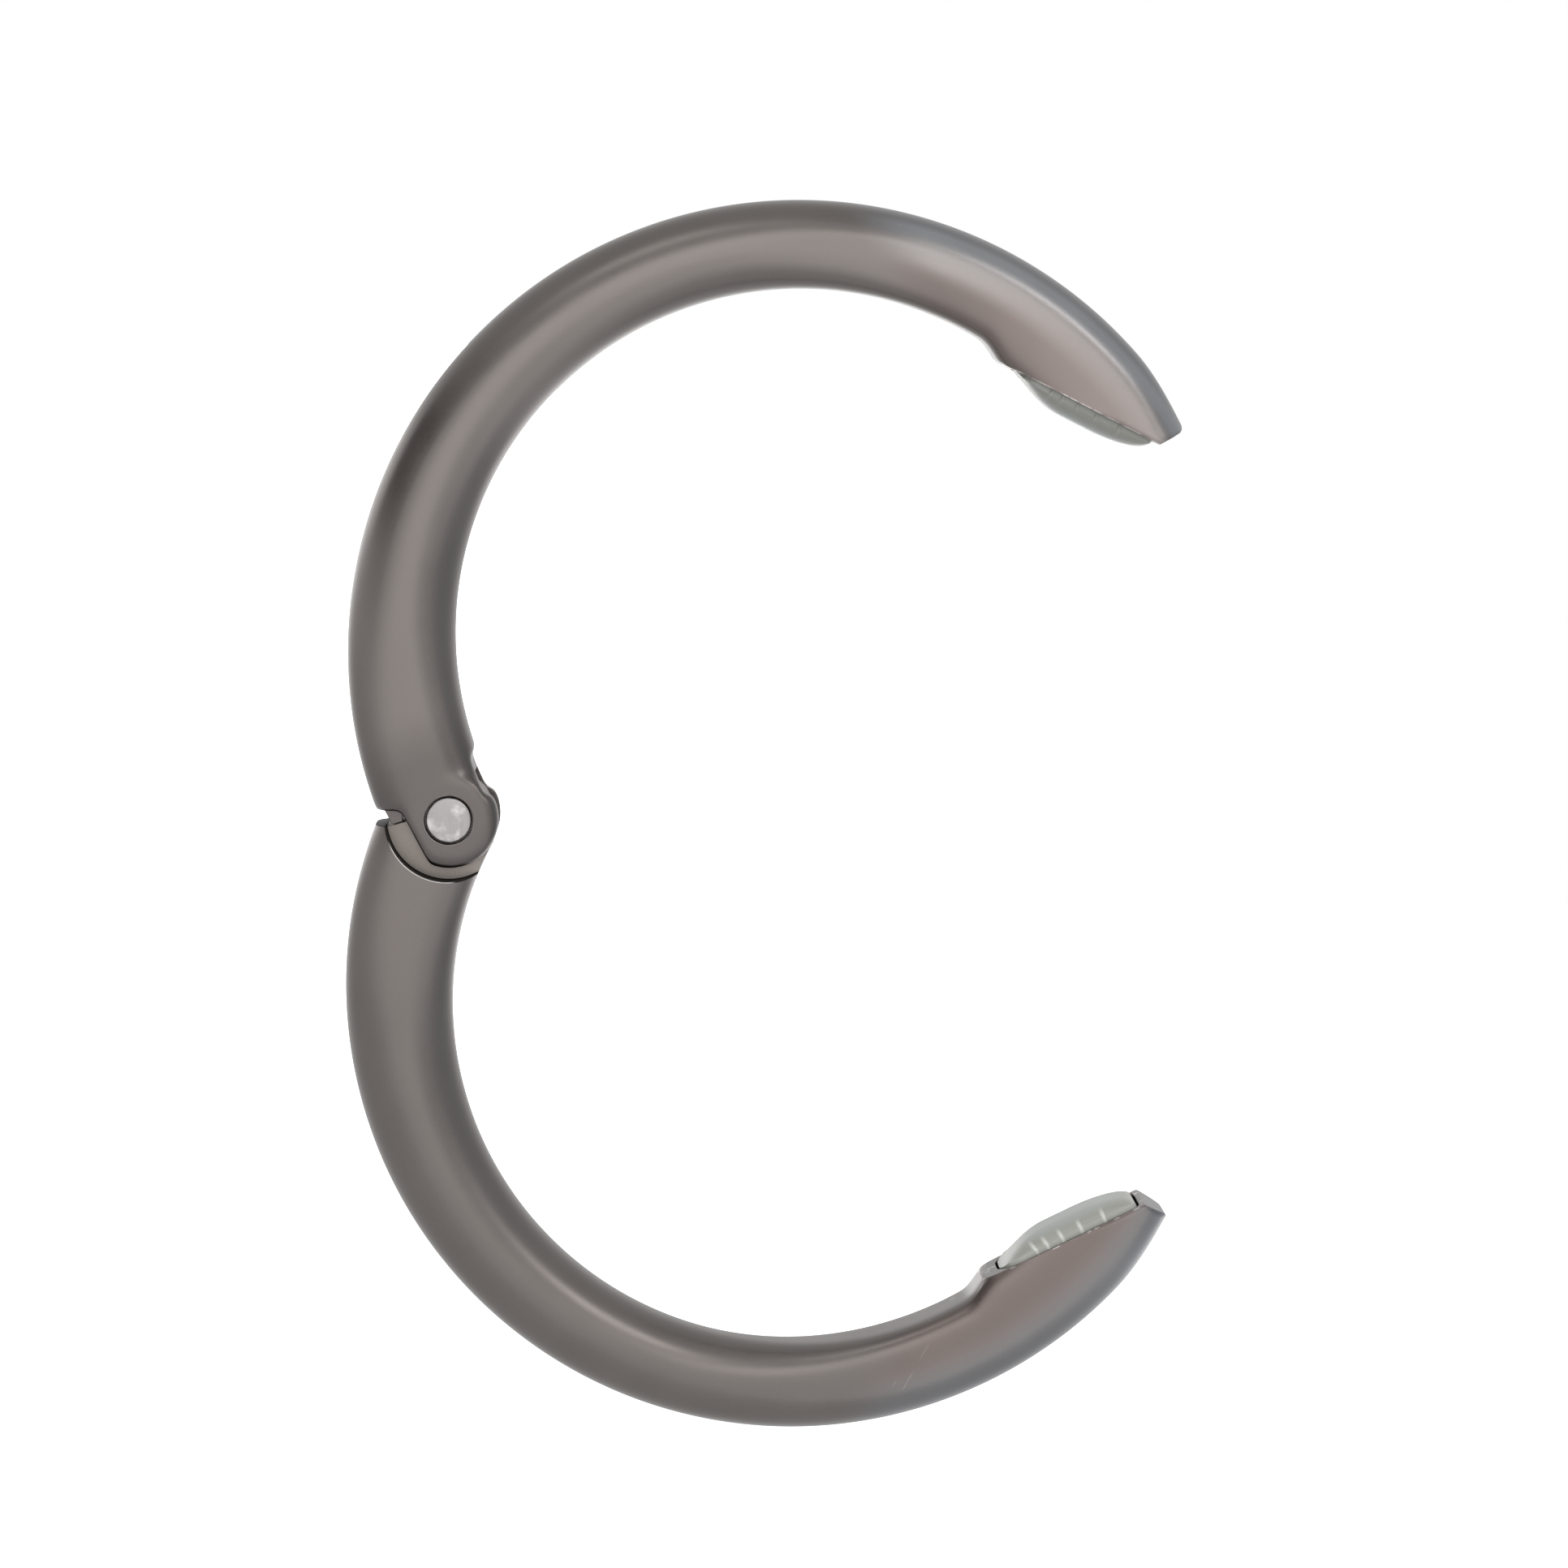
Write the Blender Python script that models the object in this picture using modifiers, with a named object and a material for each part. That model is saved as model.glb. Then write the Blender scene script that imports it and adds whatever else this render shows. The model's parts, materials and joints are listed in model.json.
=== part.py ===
"""Folding purse hook: two curved arms on one sprung hinge, with a soft pad in each tip.

Metres, +Z up. The hook hangs in use: the upper pad's flat land rests on a table top at the origin,
the ring lies in the XZ plane and its front faces -Y. Each arm is drawn in its own frame, whose
origin is the hinge axis and whose X axis is the line on which the two arms meet when the ring shuts.
The lower arm is the upper arm's mirror image apart from its hinge end.
"""

import math

import bmesh
import bpy
from mathutils import Matrix, Vector

# The ring: its outer circle, the arm's width, and how far in from the outer edge the pin sits
RING_RADIUS = 0.0412
ARM_WIDTH = 0.0097
PIN_INSET = 0.0060
RING_CENTRE_DROP = 0.0016
INSIDE_SHIFT = 0.0009
INSIDE_CENTRE_DROP = 0.0002
CLOSING_GAP = 0.0003
OPENING_DEG = 56.8

# The arm's section: a squarish oval at the hinge, a rounder one in the middle, and flat cheeks with a
# round outer band at the tip
HINGE_DEPTH = 0.0094
TIP_DEPTH = 0.0084
OUTER_BAND = 0.0028
TIP_TAPER = 0.0006
OVAL_POWER = 2.4
HINGE_POWER = 3.6
HINGE_FULL_DEG = 172.0
HINGE_START_DEG = 138.0
CHEEK_POWER = 6.0
CHEEKS_LEAD_DEG = 5.0
CHEEKS_SPAN_DEG = 42.0
TAPER_START_DEG = 14.0
SECTION_POINTS = 28
ARM_STATIONS = 40
TIP_STATION_DEG = -3.0
HINGE_STATION_DEG = 183.0

# The seat of the pad, the nose past it at the tip, and the shoulder where it starts
SEAT_SLOPE_DEG = 54.8
SEAT_SETBACK = 0.00035
NOSE_LENGTH = 0.0009
SHOULDER_RISE = 0.00115
SHOULDER_LEAD_DEG = 0.9
SHOULDER_SPAN_DEG = 7.0
SEAT_CUT_LEAD = 0.004

# The pad
PAD_LENGTH = 0.0139
PAD_WIDTH = 0.0070
PAD_HEIGHT = 0.0017
PAD_ROOT = 0.0009
PAD_RIM = 0.0003
PAD_LAND_WIDTH = 0.0024
PAD_LAND_SHARE = 0.2
PAD_INNER_POWER = 1.4
PAD_TIP_POWER = 0.42
PAD_END_STATIONS = 8
PAD_CROWN_POINTS = 6
PAD_CLEARANCE = 0.00025

# The hinge: ears on the upper arm, a tongue on the lower arm
EAR_RADIUS = 0.0045
EAR_THICKNESS = 0.00195
EAR_EDGE = 0.0009
EAR_OUTER_X = -0.0035
KNUCKLE_RADIUS = 0.0040
SLOT_CLEARANCE = 0.0003
WASHER_THICKNESS = 0.0003
WASHER_RADIUS = 0.0034
WASHER_CLEARANCE = 0.0001
CHEEK_THICKNESS = 0.0008
SHAFT_RADIUS = 0.0015
HEAD_RADIUS = 0.00208
HEAD_HEIGHT = 0.0010
HEAD_CLEARANCE = 0.00017
HEAD_EDGE = 0.0002
SPIGOT_RADIUS = 0.0010
PIN_CLEARANCE = 0.00005
FLUSH_DROP = 0.00005
ROUND_SEGMENTS = 48

# The opening stop: the fork's web meets the tongue's shelf
STOP_DISTANCE = 0.0007
STOP_DEG = 77.4
STOP_GAP = 0.00015
SLOT_SHOULDER_DEG = 40.0
WEB_OUTER_X = -0.0049
WEB_OVERLAP = 0.0019
WEB_INSET = 0.0001
SHOULDER_CORNER_X = -0.0053
SHOULDER_CORNER_Z = 0.00355
SHOULDER_CUT_DEG = -25.0

# The recess round the tongue, on both faces of the lower arm
LIP_RADIUS = 0.0057
LIP_CENTRE_X = -0.0001
LIP_CENTRE_Z = 0.00005
END_CORNER_Z = 0.00385
END_CUT_DEG = -30.0
END_INNER_X = -0.0046
SHELF_INSET = 0.00005
RELIEF_TOP_Z = 0.0044
RELIEF_TOP_X = 0.0042
RELIEF_FOOT_Z = 0.0006
RELIEF_FOOT_X = 0.0039
RELIEF_STEP = 0.0006

# The torsion spring
WIRE_RADIUS = 0.00025
COIL_RADIUS = 0.00205
COIL_CLEARANCE = 0.0003
COIL_SIDE_CLEARANCE = 0.0001
COIL_TURNS = 2
FIXED_LEG_DEG = 100.0
MOVING_LEG_DEG = 252.0
FIXED_LEG_REACH = 0.0056
MOVING_LEG_REACH = 0.0036
LEG_HOLE_RADIUS = 0.0005
LEG_HOLE_LEAD = 0.0003
LEG_SWEEP_MARGIN_DEG = 9.0
COIL_POINTS = 20

# Cutters run past what they cut by this much
OVERRUN = 0.002
WELD = 0.000001

PARTS = "purse_hook"
CUTTERS = "cutters"

# The outer and inside circles' centres in an arm's frame
RING_CENTRE_X = RING_RADIUS - PIN_INSET
INSIDE_RADIUS = RING_RADIUS - ARM_WIDTH
INSIDE_CENTRE_X = RING_CENTRE_X + INSIDE_SHIFT

# The seat's line: how far it lies from the ring's centre and from the pin, and where the pad starts on it
SEAT_FROM_CENTRE = INSIDE_RADIUS + SEAT_SETBACK
SEAT_RISE = Vector((math.sin(math.radians(SEAT_SLOPE_DEG)), math.cos(math.radians(SEAT_SLOPE_DEG))))
SEAT_RUN = Vector((SEAT_RISE.y, -SEAT_RISE.x))
SEAT_DISTANCE = SEAT_RISE.dot((RING_CENTRE_X, -RING_CENTRE_DROP)) + SEAT_FROM_CENTRE
PAD_START = SEAT_DISTANCE / math.tan(math.radians(SEAT_SLOPE_DEG)) - NOSE_LENGTH - PAD_LENGTH
PAD_START_FROM_CENTRE = PAD_START - SEAT_RUN.dot((RING_CENTRE_X, -RING_CENTRE_DROP))
PAD_START_DEG = 90 - SEAT_SLOPE_DEG - math.degrees(math.atan2(PAD_START_FROM_CENTRE, SEAT_FROM_CENTRE))
SHOULDER_TOP_DEG = PAD_START_DEG + SHOULDER_LEAD_DEG
SHOULDER_FOOT_DEG = SHOULDER_TOP_DEG + SHOULDER_SPAN_DEG
CHEEKS_FULL_DEG = SHOULDER_FOOT_DEG + CHEEKS_LEAD_DEG
CHEEKS_START_DEG = CHEEKS_FULL_DEG + CHEEKS_SPAN_DEG

# Half depths of the fork's slot, the tongue and the spring's room, and the holes round the pin
SLOT_HALF = HINGE_DEPTH / 2 - EAR_THICKNESS
TONGUE_HALF = SLOT_HALF - WASHER_THICKNESS - 2 * WASHER_CLEARANCE
SPRING_HALF = TONGUE_HALF - CHEEK_THICKNESS
BORE_RADIUS = SHAFT_RADIUS + PIN_CLEARANCE
COUNTERBORE_RADIUS = HEAD_RADIUS + HEAD_CLEARANCE
COUNTERBORE_DEPTH = HEAD_HEIGHT + HEAD_CLEARANCE
POCKET_DEPTH = PAD_ROOT + PAD_CLEARANCE


def direction(degrees):
    """The unit vector in the ring's plane at this angle from the X axis."""
    return Vector((math.cos(math.radians(degrees)), math.sin(math.radians(degrees))))


def smooth_share(value, start, end):
    """How far a value has come from start to end, eased, from 0 to 1."""
    share = min(1.0, max(0.0, (value - start) / (end - start)))
    return share * share * (3.0 - 2.0 * share)


def clear_scene():
    for obj in list(bpy.data.objects):
        bpy.data.objects.remove(obj, do_unlink=True)


def new_collection(name):
    collection = bpy.data.collections.new(name)
    bpy.context.scene.collection.children.link(collection)
    return collection


def object_from(name, bm, collection, parent):
    """A new object from a bmesh drawn in its parent's frame."""
    bmesh.ops.recalc_face_normals(bm, faces=bm.faces)
    mesh = bpy.data.meshes.new(name)
    bm.to_mesh(mesh)
    bm.free()
    obj = bpy.data.objects.new(name, mesh)
    collection.objects.link(obj)
    obj.parent = parent
    return obj


def as_cutter(obj):
    obj.hide_render = True
    obj.display_type = "WIRE"
    return obj


def lofted(rings):
    """A closed bmesh through rings of points, with a flat cap on each end."""
    bm = bmesh.new()
    layers = [[bm.verts.new(point) for point in ring] for ring in rings]
    for near, far in zip(layers, layers[1:]):
        for index in range(len(near)):
            after = (index + 1) % len(near)
            bm.faces.new((near[index], near[after], far[after], far[index]))
    bm.faces.new(layers[0])
    bm.faces.new(layers[-1])
    return bm


def along_y(x, y, z):
    """A matrix that turns +Z to -Y and moves the result to a place."""
    return Matrix.Translation((x, y, z)) @ Matrix.Rotation(math.pi / 2, 4, "X")


def drum(name, radius, low_y, high_y, centre, collection, parent):
    """A cylinder along Y."""
    bm = bmesh.new()
    bmesh.ops.create_cone(
        bm,
        cap_ends=True,
        segments=ROUND_SEGMENTS,
        radius1=radius,
        radius2=radius,
        depth=high_y - low_y,
        matrix=along_y(centre[0], (low_y + high_y) / 2, centre[1]),
    )
    return object_from(name, bm, collection, parent)


def plate(name, outline, low_y, high_y, collection, parent):
    """A flat outline in the ring's plane with a thickness along Y, made from a filled curve."""
    curve = bpy.data.curves.new(name, "CURVE")
    curve.dimensions = "2D"
    curve.fill_mode = "BOTH"
    curve.extrude = (high_y - low_y) / 2
    spline = curve.splines.new("POLY")
    spline.points.add(len(outline) - 1)
    spline.use_cyclic_u = True
    for point, (x, z) in zip(spline.points, outline):
        point.co = (x, z, 0, 1)
    return mesh_from_curve(curve, along_y(0, (low_y + high_y) / 2, 0), collection, parent)


def mesh_from_curve(curve, placing, collection, parent):
    """The curve's evaluated mesh, welded, as an object of its own."""
    guide = bpy.data.objects.new(curve.name, curve)
    collection.objects.link(guide)
    bpy.context.view_layer.update()
    mesh = bpy.data.meshes.new_from_object(guide.evaluated_get(bpy.context.evaluated_depsgraph_get()))
    name = curve.name
    bpy.data.objects.remove(guide, do_unlink=True)
    bpy.data.curves.remove(curve)
    bm = bmesh.new()
    bm.from_mesh(mesh)
    bpy.data.meshes.remove(mesh)
    bm.transform(placing)
    bmesh.ops.remove_doubles(bm, verts=bm.verts, dist=WELD)
    return object_from(name, bm, collection, parent)


def turned(name, profile, collection, parent):
    """A solid turned about Y from points of radius and height, from one end of the axis to the other."""
    bm = bmesh.new()
    verts = [bm.verts.new((radius, height, 0)) for radius, height in profile]
    for start, end in zip(verts, verts[1:]):
        bm.edges.new((start, end))
    mesh = bpy.data.meshes.new(name)
    bm.to_mesh(mesh)
    bm.free()
    obj = bpy.data.objects.new(name, mesh)
    collection.objects.link(obj)
    obj.parent = parent
    screw = obj.modifiers.new("turn", "SCREW")
    screw.axis = "Y"
    screw.steps = ROUND_SEGMENTS
    screw.render_steps = ROUND_SEGMENTS
    screw.use_merge_vertices = True
    screw.merge_threshold = WELD
    return obj


def add_boolean(obj, other, operation):
    modifier = obj.modifiers.new(f"{operation.lower()}_{other.name}", "BOOLEAN")
    modifier.operation = operation
    modifier.solver = "EXACT"
    modifier.object = other
    return modifier


def finish(obj, colour, roughness, metallic):
    """Gives the object its own material and smooth shading with sharp creases."""
    material = bpy.data.materials.new(f"{obj.name}_finish")
    material.use_nodes = True
    shader = material.node_tree.nodes["Principled BSDF"]
    shader.inputs["Base Color"].default_value = (*colour, 1.0)
    shader.inputs["Roughness"].default_value = roughness
    shader.inputs["Metallic"].default_value = metallic
    obj.data.materials.append(material)
    obj.data.shade_smooth()
    obj.data.set_sharp_from_angle(angle=math.radians(35.0))


def inside_distance(ray):
    """How far the inside edge lies from the ring's centre along a ray, before the shoulder."""
    offset = Vector((INSIDE_CENTRE_X - RING_CENTRE_X, RING_CENTRE_DROP - INSIDE_CENTRE_DROP))
    along = offset.dot(ray)
    return along + math.sqrt(INSIDE_RADIUS**2 - offset.length_squared + along**2)


def signed_power(value, power):
    return math.copysign(abs(value) ** (2.0 / power), value)


def oval_point(angle, half_width, half_depth, power):
    return Vector(
        (
            half_width * signed_power(math.cos(angle), power),
            half_depth * signed_power(math.sin(angle), power),
        )
    )


def cheek_point(angle, half_width, half_depth):
    """A point of the tip's section: a quarter ellipse outside, and nearly square inside."""
    ridge = half_width - OUTER_BAND
    across = math.cos(angle)
    if across >= 0:
        return Vector((ridge + OUTER_BAND * across, half_depth * math.sin(angle)))
    return Vector(
        (
            ridge + (half_width + ridge) * signed_power(across, CHEEK_POWER),
            half_depth * signed_power(math.sin(angle), CHEEK_POWER),
        )
    )


def arm_ring(degrees, side):
    """The arm's section at an angle round the ring's centre. side is 1 for the upper arm, else -1."""
    ray = direction(degrees)
    centre = Vector((RING_CENTRE_X, -RING_CENTRE_DROP))
    outer = RING_RADIUS - TIP_TAPER * smooth_share(degrees, TAPER_START_DEG, 0)
    shoulder = SHOULDER_RISE * smooth_share(degrees, SHOULDER_FOOT_DEG, SHOULDER_TOP_DEG)
    inner = inside_distance(ray) - shoulder
    half_width = (outer - inner) / 2
    half_depth = (TIP_DEPTH + (HINGE_DEPTH - TIP_DEPTH) * smooth_share(degrees, CHEEKS_FULL_DEG, 180)) / 2
    cheeks = smooth_share(degrees, CHEEKS_START_DEG, CHEEKS_FULL_DEG)
    power = OVAL_POWER + (HINGE_POWER - OVAL_POWER) * smooth_share(degrees, HINGE_START_DEG, HINGE_FULL_DEG)
    ring = []
    for index in range(SECTION_POINTS):
        angle = 2 * math.pi * index / SECTION_POINTS
        oval = oval_point(angle, half_width, half_depth, power)
        point = oval.lerp(cheek_point(angle, half_width, half_depth), cheeks)
        place = centre + ray * (inner + half_width + point.x)
        ring.append((place.x, point.y, side * place.y))
    return ring


def arm_body(name, side, collection, parent):
    step = (HINGE_STATION_DEG - TIP_STATION_DEG) / ARM_STATIONS
    rings = [arm_ring(TIP_STATION_DEG + step * index, side) for index in range(ARM_STATIONS + 1)]
    return object_from(name, lofted(rings), collection, parent)


def mirrored(outline, side):
    return [(x, side * z) for x, z in outline]


def along_seat(along, height):
    """A point by its distance along the seat, from where the hinge axis is square to it, and its height."""
    place = SEAT_RUN * along + SEAT_RISE * (SEAT_DISTANCE - height)
    return place.x, place.y


def tip_cutters(side, cutters, parent):
    """What both arms lose: all below the closing line, all above the seat, and the pad's pocket."""
    reach = RING_CENTRE_X + RING_RADIUS + OVERRUN
    back = -(RING_RADIUS - RING_CENTRE_X) - OVERRUN
    half = HINGE_DEPTH / 2 + OVERRUN
    line = CLOSING_GAP / 2
    below = [(back, line), (reach, line), (reach, -RING_RADIUS), (back, -RING_RADIUS)]
    seat_start = PAD_START - SEAT_CUT_LEAD
    seat_end = PAD_START + PAD_LENGTH + SEAT_CUT_LEAD
    above_seat = [
        along_seat(seat_start, 0),
        along_seat(seat_end, 0),
        along_seat(seat_end, ARM_WIDTH),
        along_seat(seat_start, ARM_WIDTH),
    ]
    pocket_start = PAD_START - PAD_CLEARANCE
    pocket_end = PAD_START + PAD_LENGTH + PAD_CLEARANCE
    pocket = [
        along_seat(pocket_start, -POCKET_DEPTH),
        along_seat(pocket_end, -POCKET_DEPTH),
        along_seat(pocket_end, OVERRUN),
        along_seat(pocket_start, OVERRUN),
    ]
    pocket_half = PAD_WIDTH / 2 + PAD_CLEARANCE
    prefix = "upper" if side > 0 else "lower"
    cuts = [("below_line", below, half), ("above_seat", above_seat, half), ("pocket", pocket, pocket_half)]
    tools = []
    for name, outline, reach_y in cuts:
        tool = plate(f"{prefix}_{name}", mirrored(outline, side), -reach_y, reach_y, cutters, parent)
        tools.append(as_cutter(tool))
    return tools


def line_height(x, corner_x, corner_z, degrees):
    """The height at x of a sloping line through a corner."""
    return corner_z + (x - corner_x) * math.tan(math.radians(degrees))


def stop_height(x, distance):
    """The height at x of a face that lies square to the stop's direction, this far from the hinge axis."""
    normal = direction(STOP_DEG)
    return (distance - normal.x * x) / normal.y


def arc(centre, radius, start_deg, end_deg, steps):
    """Points along an arc from one angle to another."""
    points = []
    for index in range(steps + 1):
        place = Vector(centre) + direction(start_deg + (end_deg - start_deg) * index / steps) * radius
        points.append((place.x, place.y))
    return points


def slot_outline(far_x, near_x, low_z):
    """The fork's slot: room for the knuckle, open below the stop's face and on the ring's inside."""
    stop = STOP_DISTANCE + STOP_GAP
    radius = KNUCKLE_RADIUS + SLOT_CLEARANCE
    half_angle = math.degrees(math.acos(stop / radius))
    floor = arc((0, 0), radius, STOP_DEG + half_angle, SLOT_SHOULDER_DEG, ROUND_SEGMENTS // 2)
    edges = [(far_x, low_z), (far_x, stop_height(far_x, stop))]
    return edges + floor + [(near_x, floor[-1][1]), (near_x, low_z)]


def upper_arm(parts, cutters, parent):
    """The fork: a boss round the pin, cut to two ears, with a web between them that stops the tongue."""
    body = arm_body("upper_arm", 1, parts, parent)
    for cutter in tip_cutters(1, cutters, parent):
        add_boolean(body, cutter, "DIFFERENCE")
    half = HINGE_DEPTH / 2
    past = half + OVERRUN
    boss = as_cutter(drum("ear_boss", EAR_RADIUS, -half, half, (0, 0), cutters, parent))
    edge = boss.modifiers.new("soft_edge", "BEVEL")
    edge.width = EAR_EDGE
    edge.segments = 3
    edge.limit_method = "ANGLE"
    add_boolean(body, boss, "UNION")
    inner_edge = RING_CENTRE_X - inside_distance(direction(180))
    relief = [
        (inner_edge + OVERRUN, RELIEF_TOP_Z),
        (inner_edge, RELIEF_TOP_Z),
        (RELIEF_TOP_X, RELIEF_TOP_Z - RELIEF_STEP),
        (RELIEF_FOOT_X, RELIEF_FOOT_Z),
        (inner_edge, RELIEF_FOOT_Z - RELIEF_STEP),
        (inner_edge + OVERRUN, RELIEF_FOOT_Z - RELIEF_STEP),
    ]
    add_boolean(body, as_cutter(plate("relief", relief, -past, past, cutters, parent)), "DIFFERENCE")
    far_x = -(RING_RADIUS - RING_CENTRE_X) - OVERRUN
    low_z = -EAR_RADIUS - OVERRUN
    corner = (SHOULDER_CORNER_X, SHOULDER_CORNER_Z, SHOULDER_CUT_DEG)
    beside_ear = [
        (far_x, low_z),
        (far_x, line_height(far_x, *corner)),
        (EAR_OUTER_X, line_height(EAR_OUTER_X, *corner)),
        (EAR_OUTER_X, low_z),
    ]
    add_boolean(body, as_cutter(plate("shoulder", beside_ear, -past, past, cutters, parent)), "DIFFERENCE")
    web_half = SLOT_HALF - WEB_INSET
    web_outline = [
        (WEB_OUTER_X, 0),
        (EAR_OUTER_X + WEB_OVERLAP, 0),
        (EAR_OUTER_X + WEB_OVERLAP, SHOULDER_CORNER_Z + WEB_OVERLAP),
        (WEB_OUTER_X, SHOULDER_CORNER_Z + WEB_OVERLAP),
    ]
    add_boolean(body, as_cutter(plate("web", web_outline, -web_half, web_half, cutters, parent)), "UNION")
    slot = slot_outline(far_x, EAR_RADIUS + OVERRUN, low_z)
    add_boolean(body, as_cutter(plate("slot", slot, -SLOT_HALF, SLOT_HALF, cutters, parent)), "DIFFERENCE")
    floor = half - COUNTERBORE_DEPTH
    holes = [
        ("ear_bore", BORE_RADIUS, -past, past),
        ("front_counterbore", COUNTERBORE_RADIUS, -past, -floor),
        ("rear_counterbore", COUNTERBORE_RADIUS, floor, past),
    ]
    for name, radius, low_y, high_y in holes:
        hole = drum(name, radius, low_y, high_y, (0, 0), cutters, parent)
        add_boolean(body, as_cutter(hole), "DIFFERENCE")
    start = direction(FIXED_LEG_DEG) * (KNUCKLE_RADIUS - LEG_HOLE_LEAD)
    end = direction(FIXED_LEG_DEG) * (FIXED_LEG_REACH + COIL_CLEARANCE)
    across = direction(FIXED_LEG_DEG + 90) * LEG_HOLE_RADIUS
    leg_slot = [start - across, end - across, end + across, start + across]
    leg_y = fixed_leg_height()
    hole = plate("leg_slot", leg_slot, leg_y - LEG_HOLE_RADIUS, leg_y + LEG_HOLE_RADIUS, cutters, parent)
    add_boolean(body, as_cutter(hole), "DIFFERENCE")
    return body


def circle_segment(centre, radius, normal_deg, distance):
    """The part of a circle past a line, which is square to a direction and this far from the hinge axis."""
    reach = distance - direction(normal_deg).dot(Vector(centre))
    half_angle = math.degrees(math.acos(reach / radius))
    return arc(centre, radius, normal_deg - half_angle, normal_deg + half_angle, ROUND_SEGMENTS)


def spring_room_outline():
    """The hollow in the tongue: round the coil, and out to where each leg sweeps as the hinge turns."""
    coil = COIL_RADIUS + WIRE_RADIUS + COIL_CLEARANCE
    fixed_start = FIXED_LEG_DEG - LEG_SWEEP_MARGIN_DEG
    fixed_end = FIXED_LEG_DEG + OPENING_DEG + LEG_SWEEP_MARGIN_DEG
    moving_start = MOVING_LEG_DEG - LEG_SWEEP_MARGIN_DEG
    moving_end = MOVING_LEG_DEG + OPENING_DEG + LEG_SWEEP_MARGIN_DEG
    steps = ROUND_SEGMENTS // 4
    window = arc((0, 0), KNUCKLE_RADIUS + OVERRUN, fixed_start, fixed_end, steps)
    between = arc((0, 0), coil, fixed_end, moving_start, steps)
    pocket = arc((0, 0), MOVING_LEG_REACH + COIL_CLEARANCE, moving_start, moving_end, steps)
    rest = arc((0, 0), coil, moving_end, fixed_start + 360, steps)
    return window + between + pocket + rest


def recess(name, side, centre, cutters, parent):
    """One face's recess round the tongue. side is -1 in front."""
    low_y, high_y = sorted((side * (HINGE_DEPTH / 2 + OVERRUN), side * TONGUE_HALF))
    return as_cutter(drum(name, LIP_RADIUS, low_y, high_y, centre, cutters, parent))


def lower_arm(parts, cutters, parent):
    """The tongue: a knuckle on the pin, hollow for the spring, in a round recess on both faces."""
    body = arm_body("lower_arm", -1, parts, parent)
    for cutter in tip_cutters(-1, cutters, parent):
        add_boolean(body, cutter, "DIFFERENCE")
    past = HINGE_DEPTH / 2 + OVERRUN
    lip = (LIP_CENTRE_X, -LIP_CENTRE_Z)
    far_x = -(RING_RADIUS - RING_CENTRE_X) - OVERRUN
    drop = RING_CENTRE_DROP + END_CORNER_Z
    corner_x = RING_CENTRE_X - math.sqrt(RING_RADIUS**2 - drop**2)
    corner = (corner_x, END_CORNER_Z, END_CUT_DEG)
    end_cut = [
        (far_x, line_height(far_x, *corner)),
        (END_INNER_X, line_height(END_INNER_X, *corner)),
        (END_INNER_X, -EAR_RADIUS),
        (far_x, -EAR_RADIUS),
    ]
    above_shelf = circle_segment(lip, LIP_RADIUS - SHELF_INSET, STOP_DEG + OPENING_DEG, STOP_DISTANCE)
    for name, outline in (("end_cut", mirrored(end_cut, -1)), ("above_shelf", above_shelf)):
        cut = plate(name, outline, -past, past, cutters, parent)
        add_boolean(body, as_cutter(cut), "DIFFERENCE")
    half = HINGE_DEPTH / 2
    knuckle = as_cutter(drum("knuckle", KNUCKLE_RADIUS, -half, half, (0, 0), cutters, parent))
    add_boolean(body, knuckle, "UNION")
    for name, side in (("front_recess", -1), ("rear_recess", 1)):
        add_boolean(body, recess(name, side, lip, cutters, parent), "DIFFERENCE")
    room = plate("spring_room", spring_room_outline(), -SPRING_HALF, SPRING_HALF, cutters, parent)
    add_boolean(body, as_cutter(room), "DIFFERENCE")
    bore = as_cutter(drum("tongue_bore", BORE_RADIUS, -past, past, (0, 0), cutters, parent))
    add_boolean(body, bore, "DIFFERENCE")
    return body


def pad_height(share):
    """The pad's height at a share of its length from its middle, -1 at the shoulder and 1 at the tip."""
    beyond = max(0.0, (abs(share) - PAD_LAND_SHARE) / (1 - PAD_LAND_SHARE))
    power = PAD_TIP_POWER if share > 0 else PAD_INNER_POWER
    return PAD_HEIGHT * max(0.0, 1 - beyond**2) ** power


def pad(name, side, parts, parent):
    """A block with a crown along and across, flat at its top, whose root stands in the arm's pocket."""
    shares = []
    for index in range(PAD_END_STATIONS + 1):
        ease = math.sin(math.pi / 2 * index / PAD_END_STATIONS)
        shares.append(PAD_LAND_SHARE + (1 - PAD_LAND_SHARE) * ease)
    shares = [-share for share in reversed(shares)] + shares
    half = PAD_WIDTH / 2
    land_half = PAD_LAND_WIDTH / 2
    rings = []
    for share in shares:
        top = pad_height(share)
        rim = min(PAD_RIM, top)
        along = PAD_START + PAD_LENGTH / 2 * (1 + share)
        outline = [(-half, -PAD_ROOT)]
        for index in range(PAD_CROWN_POINTS + 1):
            angle = math.pi / 2 * index / PAD_CROWN_POINTS
            y = land_half + (half - land_half) * math.cos(angle)
            outline.append((-y, rim + (top - rim) * math.sin(angle)))
        outline += [(-y, height) for y, height in reversed(outline)]
        ring = []
        for y, height in outline:
            x, z = along_seat(along, height)
            ring.append((x, y, side * z))
        rings.append(ring)
    return object_from(name, lofted(rings), parts, parent)


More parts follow.
